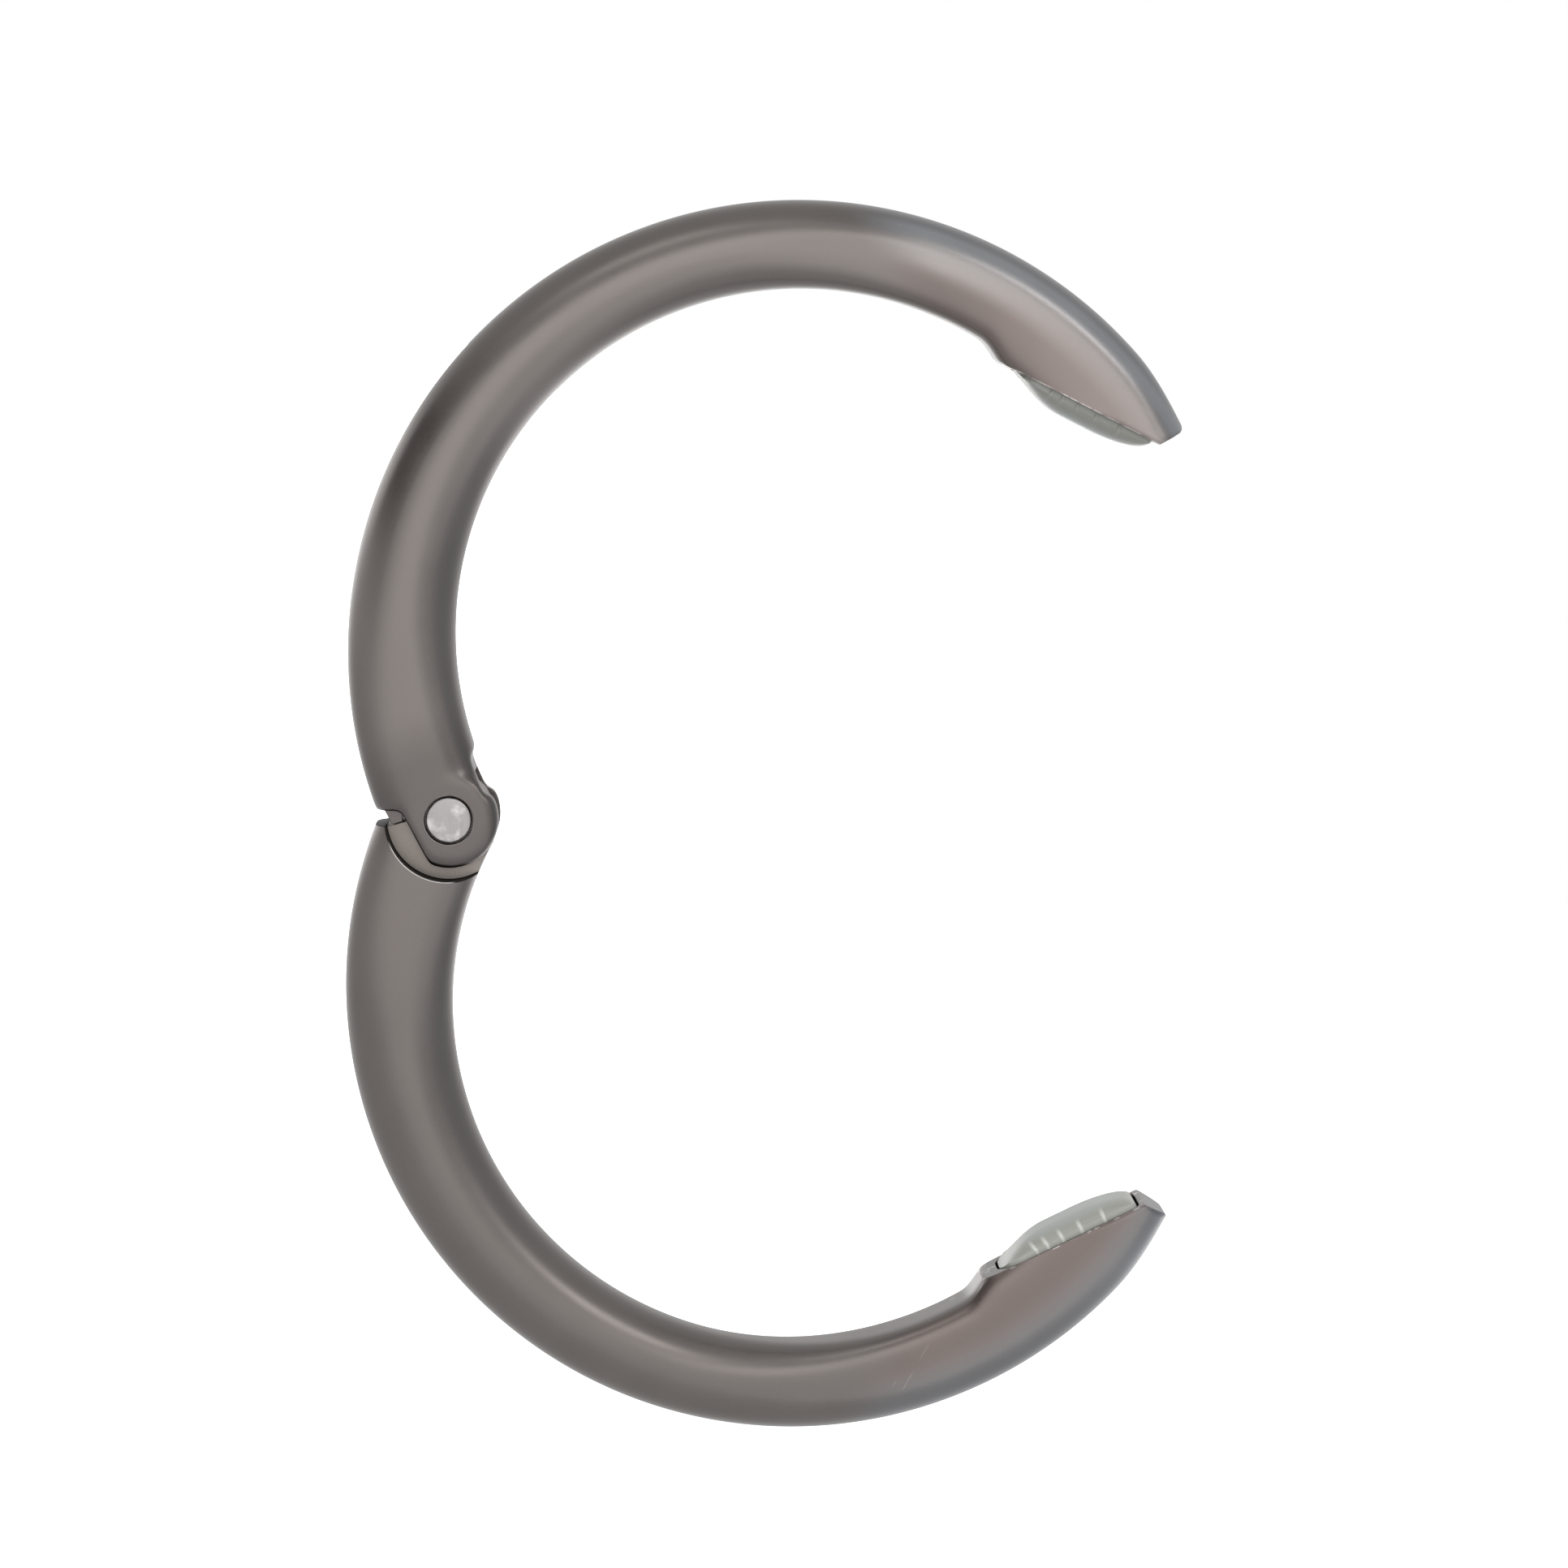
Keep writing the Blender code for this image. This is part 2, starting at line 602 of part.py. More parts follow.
def hinge_pin(parts, parent):
    """Front head, shaft, and a spigot that the rear cap is riveted on."""
    front = -HINGE_DEPTH / 2 + FLUSH_DROP
    rear = HINGE_DEPTH / 2 - FLUSH_DROP
    profile = [
        (0, rear),
        (SPIGOT_RADIUS, rear),
        (SPIGOT_RADIUS, rear - HEAD_HEIGHT),
        (SHAFT_RADIUS, rear - HEAD_HEIGHT),
        (SHAFT_RADIUS, front + HEAD_HEIGHT),
        (HEAD_RADIUS, front + HEAD_HEIGHT),
        (HEAD_RADIUS, front + HEAD_EDGE),
        (HEAD_RADIUS - HEAD_EDGE, front),
        (0, front),
    ]
    return turned("hinge_pin", profile, parts, parent)


def rivet_cap(parts, parent):
    """The rear head: a disc pressed on the pin's spigot."""
    rear = HINGE_DEPTH / 2 - FLUSH_DROP
    bore = SPIGOT_RADIUS + PIN_CLEARANCE
    seat = rear - HEAD_HEIGHT + PIN_CLEARANCE
    profile = [
        (bore, rear),
        (HEAD_RADIUS - HEAD_EDGE, rear),
        (HEAD_RADIUS, rear - HEAD_EDGE),
        (HEAD_RADIUS, seat),
        (bore, seat),
        (bore, rear),
    ]
    return turned("rivet_cap", profile, parts, parent)


def washer(name, side, parts, parent):
    """A thin ring between an ear and the tongue. side is -1 in front and 1 behind."""
    inner_face = TONGUE_HALF + WASHER_CLEARANCE
    outer_face = inner_face + WASHER_THICKNESS
    low_y, high_y = sorted((side * inner_face, side * outer_face))
    bore = SHAFT_RADIUS + WASHER_CLEARANCE
    profile = [
        (bore, high_y),
        (WASHER_RADIUS, high_y),
        (WASHER_RADIUS, low_y),
        (bore, low_y),
        (bore, high_y),
    ]
    return turned(name, profile, parts, parent)


def fixed_leg_height():
    return SPRING_HALF - COIL_SIDE_CLEARANCE - WIRE_RADIUS


def torsion_spring(parts, parent):
    """One wire: a leg in the fork's web, the coil round the pin, and a leg in the tongue's pocket."""
    high = fixed_leg_height()
    sweep = 360 * COIL_TURNS + MOVING_LEG_DEG - FIXED_LEG_DEG
    steps = round(COIL_POINTS * sweep / 360)
    points = [(*(direction(FIXED_LEG_DEG) * FIXED_LEG_REACH), high)]
    for index in range(steps + 1):
        share = index / steps
        place = direction(FIXED_LEG_DEG + sweep * share) * COIL_RADIUS
        points.append((place.x, place.y, high * (1 - 2 * share)))
    points.append((*(direction(MOVING_LEG_DEG) * MOVING_LEG_REACH), -high))
    gap = 2 * high * 360 / sweep - 2 * WIRE_RADIUS
    print(f"torsion_spring: gap between turns {gap * 1000:.3f} mm")
    curve = bpy.data.curves.new("torsion_spring", "CURVE")
    curve.dimensions = "3D"
    curve.bevel_depth = WIRE_RADIUS
    curve.bevel_resolution = 1
    curve.use_fill_caps = True
    spline = curve.splines.new("POLY")
    spline.points.add(len(points) - 1)
    for point, (x, z, y) in zip(spline.points, points):
        point.co = (x, y, z, 1)
    return mesh_from_curve(curve, Matrix.Identity(4), parts, parent)


def frame_empty(name, location, turn_deg, parts):
    """An empty on the hinge axis, turned in the ring's plane."""
    empty = bpy.data.objects.new(name, None)
    empty.location = location
    empty.rotation_euler = (0, -math.radians(turn_deg), 0)
    parts.objects.link(empty)
    return empty


def main():
    clear_scene()
    parts = new_collection(PARTS)
    cutters = new_collection(CUTTERS)
    pin_place = (-(PAD_START + PAD_LENGTH / 2), 0, -(SEAT_DISTANCE - PAD_HEIGHT))
    upper = frame_empty("upper_arm_frame", pin_place, SEAT_SLOPE_DEG, parts)
    lower = frame_empty("lower_arm_frame", pin_place, SEAT_SLOPE_DEG - OPENING_DEG, parts)
    gunmetal = (0.165, 0.142, 0.130)
    steel = (0.58, 0.56, 0.55)
    silicone = (0.38, 0.42, 0.34)
    nylon = (0.05, 0.05, 0.055)
    for arm in (upper_arm(parts, cutters, upper), lower_arm(parts, cutters, lower)):
        finish(arm, gunmetal, 0.42, 0.9)
    finish(hinge_pin(parts, upper), steel, 0.3, 1.0)
    finish(rivet_cap(parts, upper), steel, 0.3, 1.0)
    finish(torsion_spring(parts, upper), steel, 0.35, 1.0)
    finish(washer("front_washer", -1, parts, upper), nylon, 0.5, 0.0)
    finish(washer("rear_washer", 1, parts, upper), nylon, 0.5, 0.0)
    finish(pad("upper_pad", 1, parts, upper), silicone, 0.35, 0.0)
    finish(pad("lower_pad", -1, parts, lower), silicone, 0.35, 0.0)


main()
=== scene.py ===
# %% [markdown]
# # A folding purse hook in satin gunmetal
#
# The hook is a ring in two halves. Opened, its upper arm stands on a table top on a soft silicone
# pad and a bag hangs in the lower arm. The engineering model is loaded first and never changed: it
# says where the hinge pin is and how large every piece may be. On top of it this lesson builds the
# pieces as the eye sees them, at a finer grain than a solid model needs, and gives each its finish.

# %% Load the engineering model
import json
import math

import bmesh
import bpy
from mathutils import Matrix, Vector
from mathutils.bvhtree import BVHTree


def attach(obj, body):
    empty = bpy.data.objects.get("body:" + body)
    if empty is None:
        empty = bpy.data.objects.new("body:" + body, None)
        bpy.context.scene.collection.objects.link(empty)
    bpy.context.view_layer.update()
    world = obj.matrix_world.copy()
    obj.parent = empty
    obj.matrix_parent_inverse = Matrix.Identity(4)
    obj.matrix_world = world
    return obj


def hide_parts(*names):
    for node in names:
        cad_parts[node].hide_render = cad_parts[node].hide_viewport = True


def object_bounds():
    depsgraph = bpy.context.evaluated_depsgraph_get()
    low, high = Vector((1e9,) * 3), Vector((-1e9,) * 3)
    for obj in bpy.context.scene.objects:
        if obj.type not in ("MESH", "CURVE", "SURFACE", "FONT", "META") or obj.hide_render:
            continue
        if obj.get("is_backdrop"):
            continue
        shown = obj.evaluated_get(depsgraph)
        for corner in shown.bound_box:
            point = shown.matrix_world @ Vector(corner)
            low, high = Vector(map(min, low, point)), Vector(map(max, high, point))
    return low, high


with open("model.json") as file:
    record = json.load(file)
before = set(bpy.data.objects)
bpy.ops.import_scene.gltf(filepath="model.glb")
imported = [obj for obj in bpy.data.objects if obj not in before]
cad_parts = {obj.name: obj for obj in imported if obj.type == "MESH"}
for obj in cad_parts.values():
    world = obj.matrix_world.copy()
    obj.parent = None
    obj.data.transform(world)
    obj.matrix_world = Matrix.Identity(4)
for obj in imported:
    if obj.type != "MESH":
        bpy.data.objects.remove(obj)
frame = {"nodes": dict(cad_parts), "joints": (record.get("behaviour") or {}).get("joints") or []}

MM = 0.001
solid_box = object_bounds()
PIN = Vector(frame["joints"][0]["pos_m"])
print("nodes", sorted(frame["nodes"]))
print("hinge pin at", [round(value / MM, 3) for value in PIN], "mm")

# %% [markdown]
# ## The hook's sizes
#
# Both arms are drawn in a frame of their own: the origin is the pin, X runs to the ring's far side
# and Z is up in the upper arm and down in the lower one, so that one rule makes both. The sizes are
# those of the engineering model, so that a drawn piece lands exactly on the solid it dresses.

# %% The ring and the arm's section
RING_RADIUS = 41.2 * MM
ARM_WIDTH = 9.7 * MM
PIN_INSET = 6.0 * MM
RING_DROP = 1.6 * MM
RING_CENTRE = Vector((RING_RADIUS - PIN_INSET, -RING_DROP))
INSIDE_RADIUS = RING_RADIUS - ARM_WIDTH
INSIDE_SHIFT, INSIDE_DROP = 0.9 * MM, 0.2 * MM
INSIDE_CENTRE = Vector((RING_CENTRE.x + INSIDE_SHIFT, -INSIDE_DROP))
HINGE_DEPTH = 9.4 * MM
TIP_DEPTH = 8.4 * MM
TIP_TAPER = 0.6 * MM
SEAT_SLOPE = math.radians(54.8)
OPENING = math.radians(56.8)
print("ring", round(2 * RING_RADIUS / MM, 1), "mm across, arm", round(ARM_WIDTH / MM, 1), "mm wide")

# %% The seat on which each pad stands
SEAT_RISE = Vector((math.sin(SEAT_SLOPE), math.cos(SEAT_SLOPE)))
SEAT_RUN = Vector((SEAT_RISE.y, -SEAT_RISE.x))
SEAT_LIFT = 0.35 * MM
SEAT_FROM_CENTRE = INSIDE_RADIUS + SEAT_LIFT
SEAT_DISTANCE = SEAT_RISE.dot(RING_CENTRE) + SEAT_FROM_CENTRE
NOSE_LENGTH = 0.9 * MM
PAD_LENGTH = 13.9 * MM
PAD_WIDTH = 7.0 * MM
PAD_HEIGHT = 1.7 * MM
PAD_ROOT = 0.9 * MM
PAD_CLEARANCE = 0.25 * MM
PAD_START = SEAT_DISTANCE / math.tan(SEAT_SLOPE) - NOSE_LENGTH - PAD_LENGTH
start_run = PAD_START - SEAT_RUN.dot(RING_CENTRE)
PAD_START_DEG = 90 - math.degrees(SEAT_SLOPE + math.atan2(start_run, SEAT_FROM_CENTRE))
print("a pad starts", round(PAD_START / MM, 2), "mm along its seat, at", round(PAD_START_DEG, 2), "degrees")

# %% Where an arm's own frame lies in the hook
UPPER_PLACE = Matrix.Translation(PIN) @ Matrix.Rotation(-SEAT_SLOPE, 4, "Y")
LOWER_PLACE = Matrix.Translation(PIN) @ Matrix.Rotation(OPENING - SEAT_SLOPE, 4, "Y")
print("the lower arm is turned", round(math.degrees(SEAT_SLOPE - OPENING), 1), "degrees")

# %% [markdown]
# ## Sums made of nodes
#
# Geometry Nodes and materials both do arithmetic with Math nodes, which grow unreadable when they
# are placed by hand. A small class lets the script write such sums as plain arithmetic instead:
# each + or * adds one Math node, in either kind of tree.


# %% A number that comes out of a node
def plug(tree, value, socket):
    if isinstance(value, Reading):
        tree.links.new(value.socket, socket)
    else:
        socket.default_value = value


class Reading:
    """What one node's output says, written as a number in a sum."""

    def __init__(self, tree, socket):
        self.tree = tree
        self.socket = socket

    def sum(self, operation, *others):
        node = self.tree.nodes.new("ShaderNodeMath")
        node.operation = operation
        for value, socket in zip((self, *others), node.inputs):
            plug(self.tree, value, socket)
        return Reading(self.tree, node.outputs[0])

    def __add__(self, other):
        return self.sum("ADD", other)

    def __sub__(self, other):
        return self.sum("SUBTRACT", other)

    def __mul__(self, other):
        return self.sum("MULTIPLY", other)

    def __truediv__(self, other):
        return self.sum("DIVIDE", other)

    def __neg__(self):
        return self * -1.0

    def __rsub__(self, other):
        return -self + other

    def __rtruediv__(self, other):
        return self.sum("POWER", -1.0) * other

    def root(self):
        return self.sum("SQRT")

    def size(self):
        return self.sum("ABSOLUTE")

    def above(self, limit):
        return self.sum("GREATER_THAN", limit)

    def signed_power(self, power):
        return self.sum("SIGN") * self.size().sum("POWER", power)

    def eased(self, start, end):
        """How far the reading has come from start to end, from 0 to 1, with soft ends."""
        node = self.tree.nodes.new("ShaderNodeMapRange")
        node.interpolation_type = "SMOOTHSTEP"
        for value, socket in zip((self, start, end), node.inputs):
            plug(self.tree, value, socket)
        return Reading(self.tree, node.outputs[0])

    def toward(self, other, share):
        return self + (other - self) * share

    __radd__ = __add__
    __rmul__ = __mul__


print("a reading knows", sum(map(callable, vars(Reading).values())), "operations")


# %% Taking a place apart and putting one together
def parted(tree, place):
    node = tree.nodes.new("ShaderNodeSeparateXYZ")
    tree.links.new(place, node.inputs[0])
    return [Reading(tree, socket) for socket in node.outputs]


def placed(tree, *values):
    node = tree.nodes.new("ShaderNodeCombineXYZ")
    for value, socket in zip(values, node.inputs):
        plug(tree, value, socket)
    return node.outputs[0]


print("sums are ready")

# %% [markdown]
# ## Trees with named sizes
#
# A Geometry Nodes tree is worth most when its sizes are inputs with names, so that the same tree
# makes both arms or both pads. Each input is set on the modifier by its identifier before the
# object is first evaluated. The result is then frozen to a plain mesh and the modifier goes.


# %% Start a tree and finish it
def sized_tree(name, sizes):
    """A tree with one input for each size, and its readings by name."""
    tree = bpy.data.node_groups.new(name, "GeometryNodeTree")
    tree.is_modifier = True
    tree.interface.new_socket("Geometry", in_out="OUTPUT", socket_type="NodeSocketGeometry")
    for title, value in sizes.items():
        kind = "NodeSocketInt" if isinstance(value, int) else "NodeSocketFloat"
        tree.interface.new_socket(title, in_out="INPUT", socket_type=kind).default_value = value
    outputs = tree.nodes.new("NodeGroupInput").outputs
    return tree, {title: Reading(tree, outputs[title]) for title in sizes}


def finish_tree(tree, geometry, material):
    """Ends a tree in real geometry with its material."""
    realize = tree.nodes.new("GeometryNodeRealizeInstances")
    paint = tree.nodes.new("GeometryNodeSetMaterial")
    paint.inputs["Material"].default_value = material
    tree.links.new(geometry, realize.inputs[0])
    tree.links.new(realize.outputs[0], paint.inputs["Geometry"])
    tree.links.new(paint.outputs[0], tree.nodes.new("NodeGroupOutput").inputs[0])


print("every tree will end in Realize Instances and Set Material")

# %% Open a mesh for editing and write it back
WELD = 0.0001 * MM


def new_piece(name):
    piece = bpy.data.objects.new(name, bpy.data.meshes.new(name))
    bpy.context.scene.collection.objects.link(piece)
    return piece


def opened(piece):
    bm = bmesh.new()
    bm.from_mesh(piece.data)
    return bm


def written(bm, piece, weld=False):
    """Welds doubled points where asked, turns the faces outwards and writes the body to a piece."""
    if weld:
        bmesh.ops.remove_doubles(bm, verts=bm.verts, dist=WELD)
    bmesh.ops.recalc_face_normals(bm, faces=bm.faces)
    bm.to_mesh(piece.data)
    bm.free()
    return piece


print("points closer than", round(WELD / MM, 4), "mm will be welded")


# %% Freeze what a tree or a modifier makes
def settle(piece):
    """Replaces a piece's mesh by what its modifiers make of it."""
    graph = bpy.context.evaluated_depsgraph_get()
    mesh = bpy.data.meshes.new_from_object(piece.evaluated_get(graph))
    spent = piece.data
    piece.modifiers.clear()
    piece.data = mesh
    bpy.data.meshes.remove(spent)
    return piece


def grown(name, tree, sizes):
    """A new piece that a tree makes with these sizes, with its faces turned outwards."""
    piece = new_piece(name)
    modifier = piece.modifiers.new("rule", "NODES")
    modifier.node_group = tree
    for item in tree.interface.items_tree:
        if item.in_out == "INPUT":
            modifier[item.identifier] = sizes[item.name]
    settle(piece)
    return written(opened(piece), piece, weld=True)


print("so far there are", len(bpy.data.node_groups), "trees")


# %% [markdown]
# ## Finishes to start with
#
# Every piece needs its material when it is made. The empty ones are named here and their nodes are
# built further down, once the pieces stand in the light.

# %% Name the finishes
def new_finish(name):
    finish = bpy.data.materials.new(name)
    finish.use_nodes = True
    return finish


gunmetal_upper = new_finish("satin_gunmetal_upper_arm")
gunmetal_lower = new_finish("satin_gunmetal_lower_arm")
brushed_steel = new_finish("brushed_steel_rivet")
spring_wire = new_finish("drawn_spring_wire")
black_nylon = new_finish("black_nylon_washer")
grey_silicone = new_finish("grey_green_silicone")
print(len(bpy.data.materials), "materials")

# %% [markdown]
# ## The arms
#
# Each arm is a die casting. Its section is a squarish oval at the hinge and a rounder one in the
# middle, and towards the tip it gains two flat cheeks and a round outer band. It could be modelled
# by hand with a curve and a bevel, but a curve has one section all along. A rule is better here:
# Geometry Nodes take a plain cylinder, read each point's place round it and along it, and set the
# point where the arm's surface is at that angle of the ring.

# %% The arm's named sizes
ARM_SIZES = {
    "Side": 1.0,
    "Section Points": 128,
    "Stations": 420,
    "Ring Radius": RING_RADIUS,
    "Inside Radius": INSIDE_RADIUS,
    "Hinge Depth": HINGE_DEPTH,
    "Tip Depth": TIP_DEPTH,
    "Outer Band": 2.8 * MM,
    "Tip Taper": TIP_TAPER,
    "Shoulder Rise": 1.15 * MM,
    "Oval Power": 2.4,
    "Hinge Power": 3.6,
    "Cheek Power": 6.0,
    "Half Sweep Degrees": 93.0,
    "Taper Degrees": 14.0,
    "Pad Start Degrees": PAD_START_DEG,
    "Shoulder Lead Degrees": 0.9,
    "Shoulder Run Degrees": 7.0,
    "Cheek Lead Degrees": 12.0,
    "Cheek Run Degrees": 42.0,
    "Oval Degrees": 138.0,
    "Hinge Degrees": 172.0,
}
print(len(ARM_SIZES), "sizes for an arm")


# %% How far from the ring's centre the arm's two edges lie
def arm_edges(size, degrees, shoulder_top, ray_x, ray_z):
    """The outer edge tapers at the tip, and the inner one steps down in front of the pad."""
    outer = size["Ring Radius"] - size["Tip Taper"] * degrees.eased(size["Taper Degrees"], 0.0)
    shoulder_foot = shoulder_top + size["Shoulder Run Degrees"]
    shoulder = size["Shoulder Rise"] * degrees.eased(shoulder_foot, shoulder_top)
    offset = INSIDE_CENTRE - RING_CENTRE
    reach = ray_x * offset.x + ray_z * offset.y
    chord = size["Inside Radius"] * size["Inside Radius"] - offset.length_squared + reach * reach
    return outer, reach + chord.root() - shoulder


shift = (INSIDE_CENTRE - RING_CENTRE).length
print("the inside's centre lies", round(shift / MM, 2), "mm from the ring's")


# %% The section across the arm
def arm_section(size, degrees, cheeks_full, half_width, across, deep):
    """A squarish oval that turns into two flat cheeks with a round outer band."""
    depth = size["Tip Depth"].toward(size["Hinge Depth"], degrees.eased(cheeks_full, 180.0))
    half_depth = depth * 0.5
    square = degrees.eased(size["Oval Degrees"], size["Hinge Degrees"])
    power = 2.0 / size["Oval Power"].toward(size["Hinge Power"], square)
    oval_x = half_width * across.signed_power(power)
    oval_y = half_depth * deep.signed_power(power)

    flat = 2.0 / size["Cheek Power"]
    ridge = half_width - size["Outer Band"]
    outside = across.above(0.0)
    band_x = ridge + size["Outer Band"] * across
    cheek_x = ridge + (half_width + ridge) * across.signed_power(flat)
    cheek_y = (half_depth * deep.signed_power(flat)).toward(half_depth * deep, outside)
    cheeks = degrees.eased(cheeks_full + size["Cheek Run Degrees"], cheeks_full)
    x = oval_x.toward(cheek_x.toward(band_x, outside), cheeks)
    return x, oval_y.toward(cheek_y, cheeks)


print("from", round(HINGE_DEPTH / MM, 1), "mm deep at the hinge to", round(TIP_DEPTH / MM, 1), "at the tip")


# %% A cylinder whose points are set by rule
def unit_tube(tree, size):
    """A cylinder of radius 1 and half height 1, and the readings of where a point of it is."""
    tube = tree.nodes.new("GeometryNodeMeshCylinder")
    plug(tree, size["Section Points"], tube.inputs["Vertices"])
    plug(tree, size["Stations"], tube.inputs["Side Segments"])
    tube.inputs["Radius"].default_value = 1.0
    tube.inputs["Depth"].default_value = 2.0
    position = tree.nodes.new("GeometryNodeInputPosition").outputs[0]
    return tube.outputs["Mesh"], parted(tree, position)


def set_points(tree, geometry, *values):
    """Moves each point to the place that the readings give."""
    move = tree.nodes.new("GeometryNodeSetPosition")
    tree.links.new(geometry, move.inputs["Geometry"])
    tree.links.new(placed(tree, *values), move.inputs["Position"])
    return move.outputs[0]


rings = ARM_SIZES["Stations"] + 1
print("an arm has", rings, "rings of", ARM_SIZES["Section Points"], "points")


# %% The rule for a point of the arm
def arm_rule():
    tree, size = sized_tree("arm_by_rule", ARM_SIZES)
    tube, (across, deep, along) = unit_tube(tree, size)
    degrees = along * size["Half Sweep Degrees"] + 90.0
    turn = degrees * (math.pi / 180)
    ray_x, ray_z = turn.sum("COSINE"), turn.sum("SINE")
    shoulder_top = size["Pad Start Degrees"] + size["Shoulder Lead Degrees"]
    outer, inner = arm_edges(size, degrees, shoulder_top, ray_x, ray_z)
    half_width = (outer - inner) * 0.5
    cheeks_full = shoulder_top + size["Cheek Lead Degrees"]
    x, y = arm_section(size, degrees, cheeks_full, half_width, across, deep)
    radius = inner + half_width + x
    arm_x = ray_x * radius + RING_CENTRE.x
    arm_z = (ray_z * radius + RING_CENTRE.y) * size["Side"]
    finish_tree(tree, set_points(tree, tube, arm_x, y, arm_z), gunmetal_upper)
    return tree


arm_tree = arm_rule()
print(arm_tree.name, "has", len(arm_tree.nodes), "nodes")

# %% [markdown]
# ## Tools for carving
#
# The hinge, the seat and the tip are cut out of the casting with Booleans. The Manifold solver is
# the quick one, and it needs closed bodies on both sides, so every tool here is a closed prism or a
# turned drum. All cuts stay crisp, and the finish rounds their edges as the eye expects it.

# %% Directions and arcs
FINE_STEPS = 128


def direction(degrees):
    return Vector((math.cos(math.radians(degrees)), math.sin(math.radians(degrees))))


def arc(centre, radius, start, end, steps=FINE_STEPS):
    turns = [start + (end - start) * index / steps for index in range(steps + 1)]
    return [tuple(Vector(centre) + direction(turn) * radius) for turn in turns]


print("round shapes have", FINE_STEPS, "steps")


# %% Closed bodies for tools
def drawn_between(name, near, far):
    """A closed body between two outlines with the same number of points."""
    bm = bmesh.new()
    near = [bm.verts.new(point) for point in near]
    far = [bm.verts.new(point) for point in far]
    for index in range(len(near)):
        after = (index + 1) % len(near)
        bm.faces.new((near[index], near[after], far[after], far[index]))
    bm.faces.new(near)
    bm.faces.new(far)
    return written(bm, new_piece(name), weld=True)


def prism(outline, low_y, high_y, side=1):
    """An outline in the ring's plane with a thickness along Y."""
    near = [(x, low_y, side * z) for x, z in outline]
    return drawn_between("tool", near, [(x, high_y, z) for x, y, z in near])


def drum(radius, low_y, high_y, centre=(0, 0), side=1):
    return prism(arc(centre, radius, 0, 360)[:-1], low_y, high_y, side)


def turned(name, profile):
    """A body turned about the pin's axis from points of radius and height."""
    bm = bmesh.new()
    verts = [bm.verts.new((radius, height, 0)) for radius, height in profile]
    edges = [bm.edges.new(pair) for pair in zip(verts, verts[1:])]
    bmesh.ops.spin(bm, geom=verts + edges, axis=(0, 1, 0), steps=FINE_STEPS, angle=2 * math.pi)
    return written(bm, new_piece(name), weld=True)


# %% Carve a body and look for holes in it
def carve(body, *tools, operation="DIFFERENCE"):
    """Cuts tools from a body, or joins them to it, and clears them away."""
    for tool in tools:
        cut = body.modifiers.new("cut", "BOOLEAN")
        cut.operation = operation
        cut.solver = "MANIFOLD"
        cut.object = tool
    settle(body)
    for tool in tools:
        bpy.data.meshes.remove(tool.data)
    return body


def open_edges(piece):
    """How many edges don't have exactly two faces. A closed body has none."""
    bm = opened(piece)
    count = sum(1 for edge in bm.edges if len(edge.link_faces) != 2)
    bm.free()
    return count


print("the Manifold solver does every cut")


# %% [markdown]
# ## The tip and the pad's pocket
#
# Both arms end alike. The closing line takes off all that would reach past the other arm, the seat
# is a flat, and the pocket sunk in it has the pad's own outline with a hair of room round it: full
# width, nearly square at the tip and rounded at the inner end.

# %% The pad's outline seen from above its seat
PAST = 2 * MM
SEAT_PAST = 4 * MM
CLOSING_LINE = 0.15 * MM
PLAN_STEPS = 60
INNER_ROUNDING = (0.62, 0.9)
TIP_ROUNDING = (0.93, 0.35)
ROUNDING_POWER = 2.4
TIP_CORNER = 0.7 * MM
TIP_BEND = [direction(turn) * TIP_CORNER for turn in range(0, -91, -10)]


def plan_share(share):
    """The pad's half width, as a share of its full one, at a share of its length from its middle."""
    width = 1.0
    for place, (start, depth) in ((-share, INNER_ROUNDING), (share, TIP_ROUNDING)):
        beyond = min(1.0, max(0.0, (place - start) / (1 - start)))
        width *= (1 - depth * beyond**ROUNDING_POWER) ** (1 / ROUNDING_POWER)
    return width


inner, outer = (round(PAD_WIDTH * plan_share(end) / MM, 2) for end in (-1, 1))
print("a pad is", inner, "mm wide at its inner end and", outer, "mm at the tip")


# %% Places on the seat
def along_seat(along, height):
    return tuple(SEAT_RUN * along + SEAT_RISE * (SEAT_DISTANCE - height))


def seat_matrix(side):
    """From a pad's own places (along, across, height) to those of its arm."""
    matrix = Matrix.Identity(4)
    matrix.col[0] = (SEAT_RUN.x, 0, side * SEAT_RUN.y, 0)
    matrix.col[2] = (-SEAT_RISE.x, 0, -side * SEAT_RISE.y, 0)
    matrix.col[3] = (SEAT_RISE.x * SEAT_DISTANCE, 0, side * SEAT_RISE.y * SEAT_DISTANCE, 1)
    return matrix


def moved(piece, place):
    """Puts a piece's mesh in its place, so that the object itself stays at the origin."""
    piece.data.transform(place)
    return written(opened(piece), piece)


print("the seat lies", round(SEAT_DISTANCE / MM, 2), "mm from the pin")


# %% The cuts that both arms share
def pocket_tool(side):
    shares = [math.sin(math.pi * (index / PLAN_STEPS - 0.5)) for index in range(PLAN_STEPS + 1)]
    half = PAD_WIDTH / 2 + PAD_CLEARANCE
    reach = PAD_LENGTH / 2 + PAD_CLEARANCE
    middle = PAD_START + PAD_LENGTH / 2
    edge = [(middle + reach * share, half * plan_share(share)) for share in shares]
    plan = edge + [(along, -y) for along, y in reversed(edge)]
    depth = PAD_ROOT + PAD_CLEARANCE
    low = [(along, y, -depth) for along, y in plan]
    high = [(along, y, PAST) for along, y in plan]
    return moved(drawn_between("tool", low, high), seat_matrix(side))


